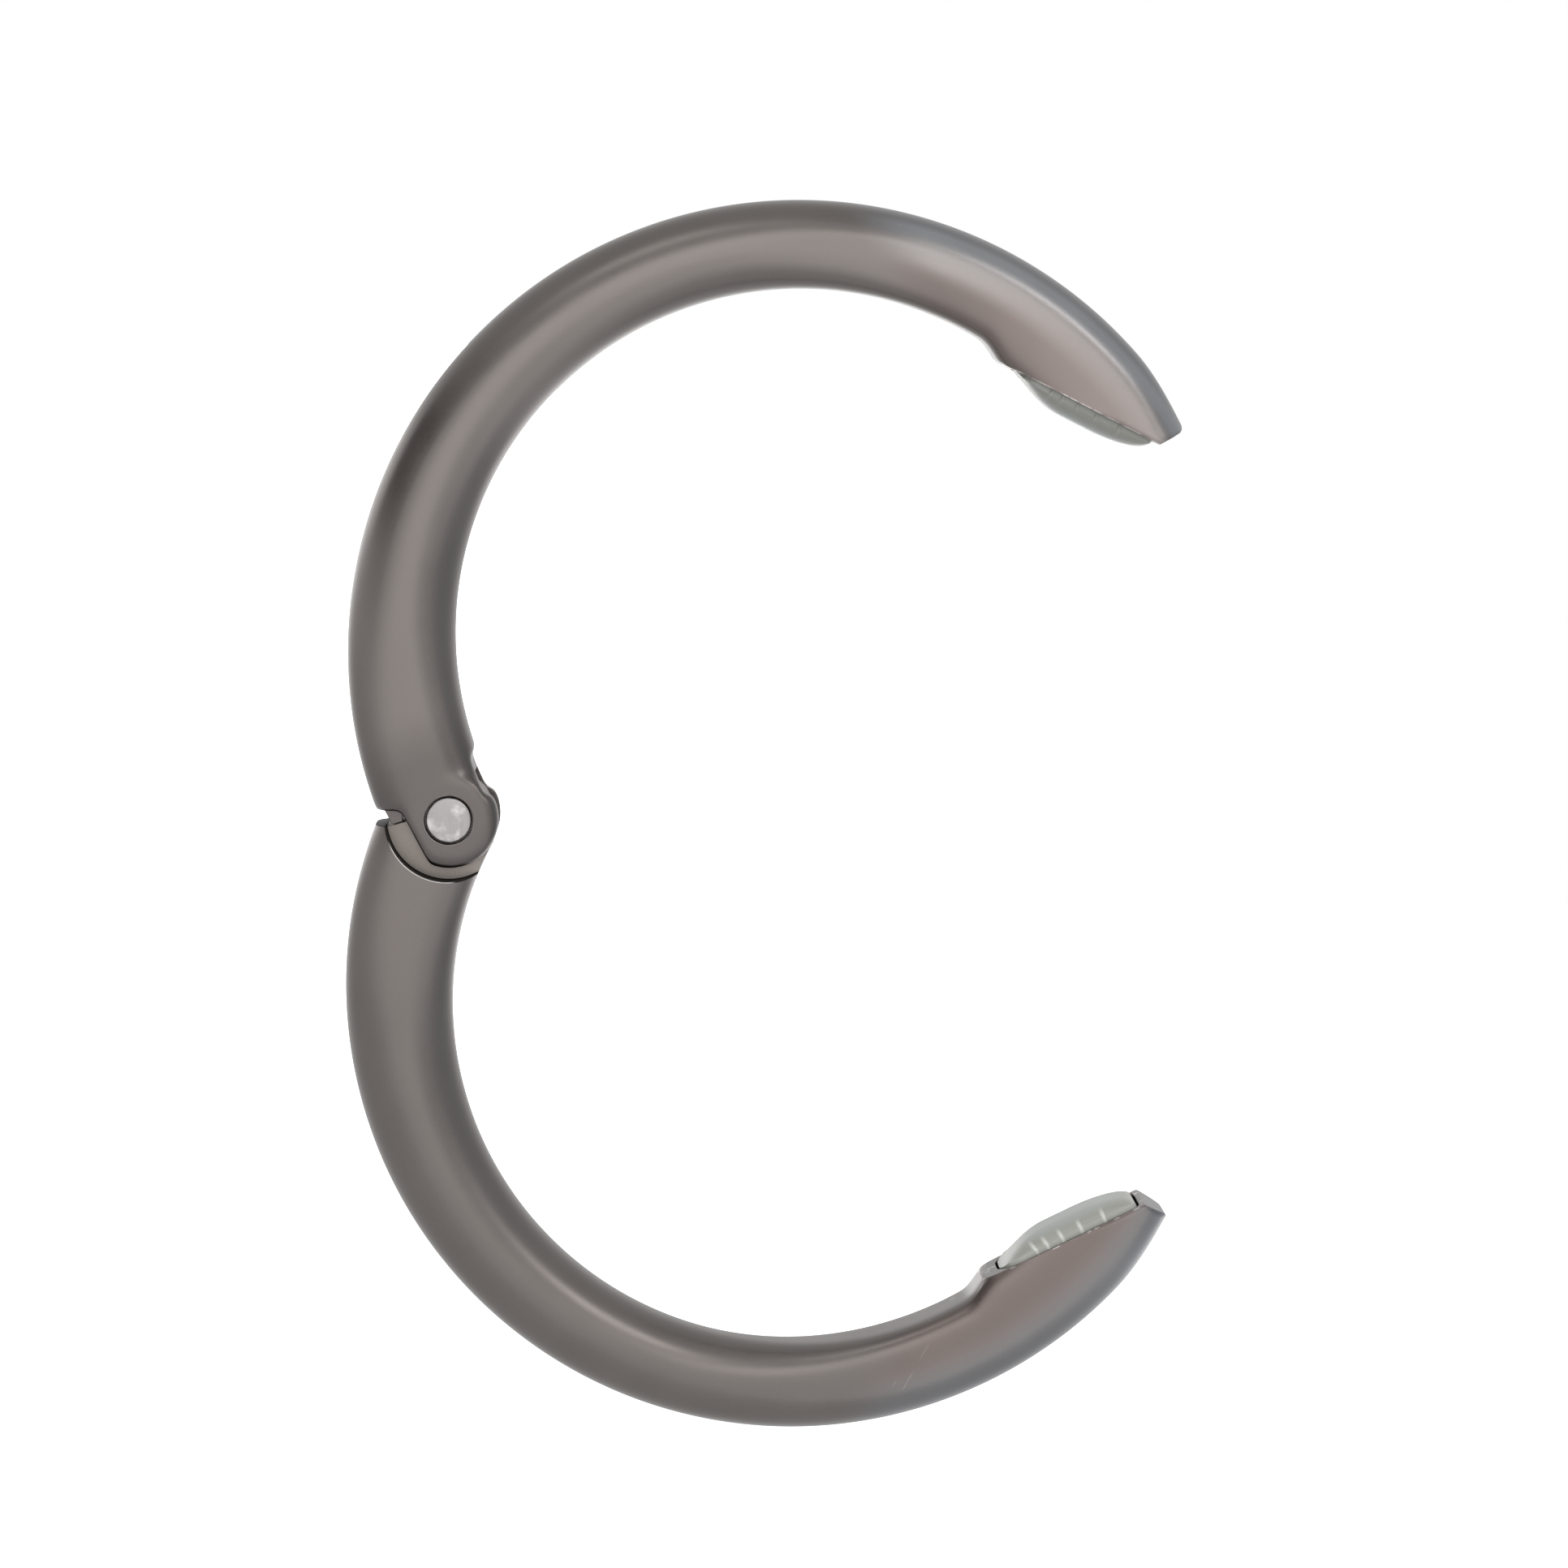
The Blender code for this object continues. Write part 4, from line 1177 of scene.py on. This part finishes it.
# %% Scratches and brushed streaks
def hair_scratches():
    """Thin bright lines, a few millimetres long, that run along one direction."""
    inputs = [("Place", "NodeSocketVector", None), ("Rarity", "NodeSocketFloat", 0.74)]
    group, given, result = shader_group("hair_scratches", inputs, ["Scratches"])
    x, y, z = parted(group, given["Place"])
    long_way = placed(group, x * 1800.0, y * 1800.0, z * 90.0)
    lines = noise(group, long_way, 1.0, 1.0)
    where = noise(group, given["Place"], 300.0, 1.0).eased(0.5, 0.62)
    limit = Reading(group, given["Rarity"])
    plug(group, lines.eased(limit, limit + 0.05) * where, result["Scratches"])
    return group


def brushed_streaks():
    """Streaks and soft smears stretched along Z."""
    inputs = [("Place", "NodeSocketVector", None)]
    group, given, result = shader_group("brushed_streaks", inputs, ["Streaks", "Smears"])
    x, y, z = parted(group, given["Place"])
    streaks = noise(group, placed(group, x * 7000.0, y * 7000.0, z * 500.0), 1.0, 3.0)
    smears = noise(group, placed(group, x * 1500.0, y * 1500.0, z * 420.0), 1.0, 3.0, 0.6)
    plug(group, streaks, result["Streaks"])
    plug(group, smears, result["Smears"])
    return group


HAIRS, BRUSHED = hair_scratches(), brushed_streaks()
print("groups:", ", ".join(group.name for group in (CAST, WORN, HAIRS, BRUSHED)))


# %% Groups and places in a finish
def use(tree, group, **values):
    """One use of a group. Returns its outputs as readings."""
    node = tree.nodes.new("ShaderNodeGroup")
    node.node_tree = group
    for title, value in values.items():
        socket = node.inputs[title.replace("_", " ")]
        if isinstance(value, bpy.types.NodeSocket):
            tree.links.new(value, socket)
        else:
            plug(tree, value, socket)
    return [Reading(tree, socket) for socket in node.outputs]


def object_place(tree):
    return tree.nodes.new("ShaderNodeTexCoord").outputs["Object"]


def in_arm(tree, place, matrix):
    """A place in an arm's own frame, where the pin is the origin and X runs along the closed ring."""
    node = tree.nodes.new("ShaderNodeMapping")
    node.vector_type = "TEXTURE"
    node.inputs["Location"].default_value = matrix.to_translation()
    node.inputs["Rotation"].default_value = matrix.to_euler()
    tree.links.new(place, node.inputs["Vector"])
    return node.outputs[0]


print("finishes read places on the object or in the arm's own frame")


# %% Colours, bumps and the shader
def mixed(tree, base, *layers):
    """Colours laid over each other. Each layer is a colour and a reading that says how much of it."""
    colour = base
    for layer, share in layers:
        node = tree.nodes.new("ShaderNodeMix")
        node.data_type = "RGBA"
        plug(tree, share, node.inputs["Factor"])
        for value, socket in ((colour, node.inputs[6]), (layer, node.inputs[7])):
            if isinstance(value, tuple):
                socket.default_value = (*value, 1)
            else:
                tree.links.new(value, socket)
        colour = node.outputs[2]
    return colour


def toned(tree, colour, factor):
    """A colour made lighter or darker by a reading."""
    node = tree.nodes.new("ShaderNodeVectorMath")
    node.operation = "SCALE"
    tree.links.new(colour, node.inputs[0])
    plug(tree, factor, node.inputs["Scale"])
    return node.outputs[0]


def bumped(tree, height, depth, radius=None):
    """A normal with the height's bumps, on edges that look rounded by a radius where one is given."""
    bump = tree.nodes.new("ShaderNodeBump")
    bump.inputs["Strength"].default_value = 1.0
    bump.inputs["Distance"].default_value = depth
    plug(tree, height, bump.inputs["Height"])
    if radius is not None:
        bevel = tree.nodes.new("ShaderNodeBevel")
        bevel.samples = BEVEL_SAMPLES
        plug(tree, radius, bevel.inputs["Radius"])
        tree.links.new(bevel.outputs[0], bump.inputs["Normal"])
    return bump.outputs[0]


def dress(finish, metallic, colour, roughness, normal=None):
    """Puts a colour, a roughness and a normal on a finish's shader."""
    tree = finish.node_tree
    shader = tree.nodes["Principled BSDF"]
    shader.inputs["Metallic"].default_value = metallic
    tree.links.new(colour, shader.inputs["Base Color"])
    plug(tree, roughness, shader.inputs["Roughness"])
    if normal:
        tree.links.new(normal, shader.inputs["Normal"])
    return shader


print("edges are rounded by", BEVEL_SAMPLES, "samples")


# %% [markdown]
# ## Satin gunmetal
#
# The casting is plated a warm dark grey and blasted to a satin. Where the tips are flat on both
# sides a pink reflection is painted on the plating, and a cool one on the round band outside them,
# with a painted highlight on the ridge between the two. The upper arm has a painted cool highlight
# along its band, painted shade on its cheek and painted light towards the very end, and it is darker
# round the hinge. On the lower arm the floor of the recess was never polished: it is lighter and
# grainier. Its wall is painted nearly black as shade and the lip above gets a painted highlight.

# %% The gunmetal's colours and places
GUNMETAL = (0.132, 0.119, 0.113)
# Painted reflections on the tip: pink on the flat cheeks, cool on the round band.
PAINTED_PINK_REFLECTION = (0.142, 0.117, 0.109)
PAINTED_COOL_REFLECTION = (0.145, 0.149, 0.156)
# A painted highlight on the ridge between the cheek and the band.
PAINTED_RIDGE_HIGHLIGHT = (0.235, 0.218, 0.208)
# Painted light on the upper cheek near its end.
PAINTED_CHEEK_LIGHT = (0.200, 0.172, 0.163)
# A painted cool highlight along the upper arm's outer band.
PAINTED_BAND_HIGHLIGHT = (0.245, 0.252, 0.262)
# Darker round the pin, and painted shade on the upper cheek further back.
HINGE_DARK_AND_CHEEK_SHADE = (0.080, 0.071, 0.068)
# Real edge wear and scratches, together with painted highlights on the lip and the pocket's rim.
WEAR_AND_PAINTED_HIGHLIGHT = (0.52, 0.50, 0.485)
RAW_FLOOR = (0.235, 0.210, 0.190)
# Painted shade on the recess's wall and the arm's end face.
PAINTED_RECESS_SHADE = (0.020, 0.017, 0.016)
BAND_RADIUS = RING_RADIUS - 1.5 * MM
RIDGE_RADIUS = RING_RADIUS - 3.4 * MM
CHEEK_RADIUS = RING_RADIUS - 5.0 * MM
SOFT_RADIUS = RING_RADIUS - 7.0 * MM
TIP_FROM, TIP_FULL = 57 * MM, 63 * MM
print("the tips' own tones start", round(TIP_FROM / MM), "mm from the pin")


# %% Where a point of an arm lies
def arm_readings(tree, own, side):
    """A point's X, depth and Z in its arm, and how far it is from the ring's centre and the pin."""
    x, y, z = parted(tree, own)
    z = z * float(side)
    across, up = x - RING_CENTRE.x, z - RING_CENTRE.y
    from_centre = (across * across + up * up).root()
    return x, y.size(), z, from_centre, (x * x + z * z).root()


def pocket_rim_highlight(tree, place, x, z, recessed):
    """A painted highlight on the rim of the pad's pocket, broken up by noise."""
    seat = SEAT_DISTANCE - (x * SEAT_RISE.x + z * SEAT_RISE.y)
    rim = (0.16 * MM - seat.size()).eased(0.0, 0.1 * MM)
    return rim * noise(tree, place, 1100.0).eased(0.56 if recessed else 0.40, 0.62)


print("the arm's finish is measured from", [round(value / MM, 1) for value in RING_CENTRE], "mm")


# %% The tones of the tip and of the upper arm
def tip_tones(at_tip, depth, from_centre, recessed):
    """The painted reflections and highlights of the tip, and how much of a point is flat cheek and how much
    is ridge.
    """
    band = from_centre.eased(CHEEK_RADIUS, BAND_RADIUS)
    cheek = at_tip * (1.0 - band) * depth.eased(3.2 * MM, 3.8 * MM)
    ridge = at_tip * (from_centre - RIDGE_RADIUS).size().eased(2.2 * MM, 0.2 * MM)
    # Painted reflections: pink on the flat cheeks, cool on the round band.
    layers = [(PAINTED_PINK_REFLECTION, cheek * 0.9), (PAINTED_COOL_REFLECTION, at_tip * band * 0.8)]
    if not recessed:
        # A painted cool highlight along the upper arm's outer band.
        shine = (from_centre - BAND_RADIUS).size().eased(0.95 * MM, 0.2 * MM)
        layers.append((PAINTED_BAND_HIGHLIGHT, at_tip * shine * 0.8))
    # A painted highlight on the ridge, faint on the lower arm.
    layers.append((PAINTED_RIDGE_HIGHLIGHT, ridge * (0.15 if recessed else 0.75)))
    return layers, cheek, ridge


def upper_tones(x, from_pin, cheek, ridge):
    """Darker round the pin, and on the cheek painted shade at first and painted light at the end."""
    return [
        (HINGE_DARK_AND_CHEEK_SHADE, from_pin.eased(11 * MM, 5 * MM) * 0.6),
        # Painted light on the cheek near the end, and painted shade on it further back.
        (PAINTED_CHEEK_LIGHT, cheek * x.eased(64 * MM, 72 * MM) * 0.6),
        (HINGE_DARK_AND_CHEEK_SHADE, cheek * x.eased(70 * MM, 58 * MM) * 0.6 * (1.0 - ridge)),
    ]


print("the ridge lies", round((RING_RADIUS - RIDGE_RADIUS) / MM, 1), "mm inside the outer edge")


# %% The places of the lower arm's recess
def recess_places(x, depth, z, from_pin):
    """How much of a point is the recess's floor, its wall or the arm's end, which get painted shade, and
    its lip, which gets a painted highlight.
    """
    floor = from_pin.eased(6.0 * MM, 5.7 * MM) * depth.eased(2.9 * MM, 2.6 * MM)
    lip_x, lip_z = x - LIP_CENTRE[0], z + LIP_CENTRE[1]
    from_lip = ((lip_x * lip_x + lip_z * lip_z).root() - LIP_RADIUS).size()
    # The lip's mask carries a painted highlight.
    lip = from_lip.eased(0.12 * MM, 0.05 * MM) * depth.eased(4.2 * MM, 4.45 * MM)
    # The wall's mask carries painted shade.
    wall = from_lip.eased(0.14 * MM, 0.05 * MM) * depth.eased(4.5 * MM, 4.3 * MM)
    wall = wall * depth.above(2.0 * MM)
    # The arm's end face beside the recess gets the same painted shade.
    corner_x, corner_z, slope_deg = end_line
    from_end = (z - ((x - corner_x) * math.tan(math.radians(slope_deg)) + corner_z)).size()
    end_face = from_end.eased(0.12 * MM, 0.04 * MM) * x.eased(END_INNER_X, END_INNER_X - 0.2 * MM)
    return floor, wall.sum("MAXIMUM", end_face * 0.85), lip


print("the recess is", round(2 * LIP_RADIUS / MM, 1), "mm across")


# %% Mix the gunmetal
def gunmetal(finish, matrix, side, recessed):
    tree = finish.node_tree
    place = object_place(tree)
    own = in_arm(tree, place, matrix)
    x, depth, z, from_centre, from_pin = arm_readings(tree, own, side)
    clouds, grain = use(tree, CAST, Place=place)
    (wear,) = use(tree, WORN, Place=place, Amount=0.45)
    (hairs,) = use(tree, HAIRS, Place=own)
    at_tip = x.eased(TIP_FROM, TIP_FULL)
    layers, cheek, ridge = tip_tones(at_tip, depth, from_centre, recessed)
    rough = 0.35 + 0.12 * (clouds - 0.5) + 0.10 * (grain - 0.5)
    bright = wear.sum("MAXIMUM", hairs * at_tip * 0.4)
    # A painted highlight along the pocket's rim, on top of the real edge wear and scratches.
    bright = bright.sum("MAXIMUM", at_tip * pocket_rim_highlight(tree, place, x, z, recessed) * 0.5)
    if recessed:
        floor, wall, lip = recess_places(x, depth, z, from_pin)
        # The lip gets a painted highlight, and the wall and the arm's end get painted shade.
        bright = bright.sum("MAXIMUM", lip * 0.5) * (1.0 - wall)
        layers += [(RAW_FLOOR, floor * (0.7 + 0.6 * (grain - 0.5))), (PAINTED_RECESS_SHADE, wall)]
        rough = rough + floor * 0.12 + wall * 0.2
    else:
        layers += upper_tones(x, from_pin, cheek, ridge)
    # Real wear and scratches and the painted rim and lip highlights share one bright metal tone.
    layers.append((WEAR_AND_PAINTED_HIGHLIGHT, bright))
    tone = 0.90 + 0.20 * clouds + 0.10 * (grain - 0.5)
    soft = at_tip * from_centre.eased(SOFT_RADIUS, CHEEK_RADIUS)
    normal = bumped(tree, grain * 0.6 + clouds * 0.4, 0.004 * MM, 0.12 * MM + 0.6 * MM * soft)
    colour = toned(tree, mixed(tree, GUNMETAL, *layers), tone)
    dress(finish, 1.0, colour, rough - bright * 0.12, normal)


gunmetal(gunmetal_upper, UPPER_PLACE, 1, False)
gunmetal(gunmetal_lower, LOWER_PLACE, -1, True)
print("gunmetal nodes:", len(gunmetal_upper.node_tree.nodes), "and", len(gunmetal_lower.node_tree.nodes))

# %% [markdown]
# ## Steel, nylon and silicone
#
# The rivet's head was faced off and then tumbled, which leaves smeared streaks. The spring wire is
# drawn and the washers are moulded black. The silicone lets some light in, so it gets a little
# subsurface scattering. Its foot is paler than the rest, its ribs carry a painted highlight and its
# crown painted light, and the upper pad is painted darker than the lower one as shade.


# %% Brush the rivet
STEEL = (0.32, 0.304, 0.298)
DULL_STEEL = (0.25, 0.237, 0.232)
PALE_STEEL = (0.50, 0.48, 0.475)
WORN_STEEL = (0.58, 0.57, 0.56)
BRUSH_DEG = 28.0


def turned_about_y(tree, place, degrees):
    node = tree.nodes.new("ShaderNodeMapping")
    node.inputs["Rotation"].default_value = (0, math.radians(degrees), 0)
    tree.links.new(place, node.inputs["Vector"])
    return node.outputs[0]


tree = brushed_steel.node_tree
place = object_place(tree)
streaks, smears = use(tree, BRUSHED, Place=turned_about_y(tree, place, BRUSH_DEG))
clouds = use(tree, CAST, Place=place, Cloud_Scale=700.0, Grain_Scale=6000.0)[0]
(wear,) = use(tree, WORN, Place=place, Amount=0.6)
dull = smears.eased(0.38, 0.62)
layers = [(DULL_STEEL, 1.0 - dull), (PALE_STEEL, clouds.eased(0.5, 0.7) * 0.8), (WORN_STEEL, wear)]
colour = toned(tree, mixed(tree, STEEL, *layers), 0.86 + 0.14 * streaks)
normal = bumped(tree, streaks, 0.003 * MM, 0.08 * MM)
dress(brushed_steel, 1.0, colour, 0.26 + 0.16 * dull + 0.10 * streaks, normal)
print("steel nodes:", len(tree.nodes))

# %% Draw the wire and mould the nylon
WIRE = (0.45, 0.45, 0.46)
DARK_WIRE = (0.33, 0.32, 0.32)
NYLON = (0.05, 0.05, 0.055)
PALE_NYLON = (0.085, 0.085, 0.09)

tree = spring_wire.node_tree
streaks, smears = use(tree, BRUSHED, Place=object_place(tree))
colour = mixed(tree, WIRE, (DARK_WIRE, smears.eased(0.4, 0.7)))
colour = toned(tree, colour, 0.9 + 0.2 * streaks)
dress(spring_wire, 1.0, colour, 0.30 + 0.12 * streaks, bumped(tree, streaks, 0.002 * MM))

tree = black_nylon.node_tree
clouds, grain = use(tree, CAST, Place=object_place(tree), Cloud_Scale=500.0, Grain_Scale=5000.0)
colour = mixed(tree, NYLON, (PALE_NYLON, clouds.eased(0.45, 0.7)))
colour = toned(tree, colour, 0.9 + 0.2 * grain)
dress(black_nylon, 0.0, colour, 0.52 + 0.16 * grain, bumped(tree, grain, 0.003 * MM))
print("wire nodes:", len(spring_wire.node_tree.nodes), "and nylon nodes:", len(tree.nodes))

# %% Mix the silicone's tones
SILICONE = (0.37, 0.375, 0.335)
FOOT_TONE = (0.47, 0.48, 0.435)
# A painted highlight on the pad's ribs.
PAINTED_RIB_HIGHLIGHT = (0.80, 0.81, 0.77)
CLOUD_TONE = (0.43, 0.42, 0.37)
# Painted light on the pad's crown.
PAINTED_CROWN_LIGHT = (0.46, 0.49, 0.49)


def point_note(tree, name):
    """What the pad's rule wrote on its points under a name."""
    note = tree.nodes.new("ShaderNodeAttribute")
    note.attribute_name = name
    return Reading(tree, note.outputs["Fac"])


tree = grey_silicone.node_tree
place = object_place(tree)
clouds, grain = use(tree, CAST, Place=place, Cloud_Scale=260.0, Grain_Scale=2600.0)
rib, rise = point_note(tree, "rib"), point_note(tree, "rise")
# Painted light and shade: the lower pad is painted lighter and the upper one darker.
lit_side = parted(tree, place)[2].eased(-30 * MM, -50 * MM)
# The painted rib highlight is nearly gone on the upper pad.
rib = rib.sum("MINIMUM", 1.0).sum("MAXIMUM", 0.0).root() * (0.1 + 0.9 * lit_side)
layers = [(FOOT_TONE, rise.eased(0.65 * MM, 0.2 * MM) * 0.8), (PAINTED_RIB_HIGHLIGHT, rib)]
layers.append((CLOUD_TONE, clouds.eased(0.5, 0.8) * 0.5))
# Painted light towards the top of the crown.
layers.append((PAINTED_CROWN_LIGHT, rise.eased(0.9 * MM, 1.6 * MM) * 0.6))
# The upper pad is painted darker as shade.
tone = (0.97 + 0.06 * grain) * (0.72 + 0.32 * lit_side)
colour = toned(tree, mixed(tree, SILICONE, *layers), tone)
print(len(layers), "tones over the silicone's own")

# %% Cast the silicone
normal = bumped(tree, grain, 0.0015 * MM)
shader = dress(grey_silicone, 0.0, colour, 0.34 + 0.14 * clouds, normal)
shader.inputs["Subsurface Weight"].default_value = 0.1
shader.inputs["Subsurface Radius"].default_value = (1.0, 1.0, 0.8)
shader.inputs["Subsurface Scale"].default_value = 0.8 * MM
shader.inputs["Coat Weight"].default_value = 0.15
shader.inputs["Coat Roughness"].default_value = 0.25
print("silicone nodes:", len(tree.nodes))

# %% [markdown]
# ## The camera
#
# The camera stands about half a metre away and about level with the hook. It is turned about its
# line of sight, so that the picture's right points 27 degrees above the hook's own X axis.

# %% The camera
PICTURE_TURN = math.radians(27.02)
PICTURE_WIDTH = 143.97 * MM
SENSOR_WIDTH = 36
look_at = Vector((-8.33, 0, -41.53)) * MM
camera_place = Vector((-38.48, -463.99, -9.86)) * MM
camera = bpy.data.objects.new("camera", bpy.data.cameras.new("camera"))
bpy.context.scene.collection.objects.link(camera)
back = (camera_place - look_at).normalized()
right = Vector((math.cos(PICTURE_TURN), 0, math.sin(PICTURE_TURN)))
right = (right - right.dot(back) * back).normalized()
up = back.cross(right)
turn = Matrix((right, up, back)).transposed().to_4x4()
camera.matrix_world = Matrix.Translation(camera_place) @ turn
distance = (camera_place - look_at).length
camera.data.sensor_width = SENSOR_WIDTH
camera.data.lens = SENSOR_WIDTH * distance / PICTURE_WIDTH
camera.data.clip_start = 0.01
camera.data.clip_end = 20
bpy.context.scene.camera = camera
print("camera", round(distance / MM), "mm away, lens", round(camera.data.lens, 1), "mm")

# %% [markdown]
# ## Floor, surround and light
#
# The picture's ground is plain white, but a white room lights metal too evenly. So the surround and
# the floor are white to the camera and in reflections, and weaker as light. Three soft lamps stand in
# front, above and on the left. A dark card on the left and a pale one on the right, which the camera
# never sees, give the metal something to reflect.

# %% The floor
FLOOR_Z = -135 * MM
FLOOR_HALF_SIZE = 6
floor = new_piece("floor")
bm = bmesh.new()
bmesh.ops.create_grid(bm, x_segments=1, y_segments=1, size=FLOOR_HALF_SIZE)
bm.to_mesh(floor.data)
bm.free()
floor.data.transform(Matrix.Translation((0, 0, FLOOR_Z)))
floor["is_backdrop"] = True
floor_finish = new_finish("pale_floor")
floor.data.materials.append(floor_finish)
print("the floor lies", round(-FLOOR_Z / MM), "mm under the table pad")


# %% White to the eye, weaker as light
def sees_white(tree):
    """1 for rays that come from the camera, from a reflection or through something clear."""
    path = tree.nodes.new("ShaderNodeLightPath")
    sees = Reading(tree, path.outputs["Is Camera Ray"])
    sees = sees.sum("MAXIMUM", Reading(tree, path.outputs["Is Glossy Ray"]))
    return sees.sum("MAXIMUM", Reading(tree, path.outputs["Is Transmission Ray"]))


tree = floor_finish.node_tree
x, y, z = parted(tree, object_place(tree))
away = (x * x + y * y).root().eased(0.12, 0.5)
shader = tree.nodes["Principled BSDF"]
shader.inputs["Base Color"].default_value = (0.8, 0.8, 0.8, 1)
shader.inputs["Roughness"].default_value = 0.9
shader.inputs["Emission Color"].default_value = (1, 1, 1, 1)
plug(tree, sees_white(tree) * (0.5 + away), shader.inputs["Emission Strength"])

world = bpy.data.worlds.new("white_surround")
world.use_nodes = True
bpy.context.scene.world = world
tree = world.node_tree
tree.nodes["Background"].inputs["Color"].default_value = (1, 1, 1, 1)
plug(tree, 0.6 + 0.4 * sees_white(tree), tree.nodes["Background"].inputs["Strength"])
print("floor and surround are lit")


# %% Lamps and cards
def lamp(name, place, size, power, colour=(1, 1, 1)):
    light = bpy.data.objects.new(name, bpy.data.lights.new(name, "AREA"))
    light.data.shape = "DISK"
    light.data.size = size
    light.data.energy = power
    light.data.color = colour
    light.location = place
    light.rotation_euler = (look_at - Vector(place)).to_track_quat("-Z", "Y").to_euler()
    bpy.context.scene.collection.objects.link(light)
    return light


def card(name, place, width, height, colour):
    """A sheet that only reflections and bounced light can see."""
    sheet = new_piece(name)
    bm = bmesh.new()
    bmesh.ops.create_grid(bm, x_segments=1, y_segments=1, size=0.5)
    facing = (look_at - Vector(place)).to_track_quat("Z", "Y").to_matrix().to_4x4()
    bm.transform(Matrix.Translation(place) @ facing @ Matrix.Diagonal((width, height, 1, 1)))
    bm.to_mesh(sheet.data)
    bm.free()
    finish = new_finish(f"{name}_finish")
    shader = finish.node_tree.nodes["Principled BSDF"]
    shader.inputs["Base Color"].default_value = (0, 0, 0, 1)
    shader.inputs["Specular IOR Level"].default_value = 0
    shader.inputs["Emission Color"].default_value = (*colour, 1)
    shader.inputs["Emission Strength"].default_value = 1
    sheet.data.materials.append(finish)
    sheet.visible_camera = False
    sheet.visible_shadow = False
    sheet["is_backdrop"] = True
    return sheet


lamp("front_softbox", (-0.07, -0.75, 0.10), 0.30, 0.6)
lamp("top_softbox", (0.12, -0.58, 0.42), 0.25, 0.9)
lamp("left_softbox", (-0.36, -0.40, 0.30), 0.20, 0.22)
dark_card = card("left_card", (-0.41, -0.16, -0.18), 0.7, 0.45, (0.12, 0.09, 0.085))
pale_card = card("right_card", (0.45, 0.0, 0.10), 0.8, 0.7, (0.80, 0.83, 0.88))
bpy.context.scene.view_settings.view_transform = "Standard"
print(len(bpy.data.lights), "lamps, with", dark_card.name, "and", pale_card.name)

# %% [markdown]
# ## The two boxes
#
# The engineering model's box and the dressed hook's box are printed side by side. The dressed
# hook may not outgrow the engineering model.

# %% Print both boxes
dressed_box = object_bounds()
for title, (low, high) in (("solid", solid_box), ("dressed", dressed_box)):
    print(title, [round((b - a) / MM, 2) for a, b in zip(low, high)], "mm")
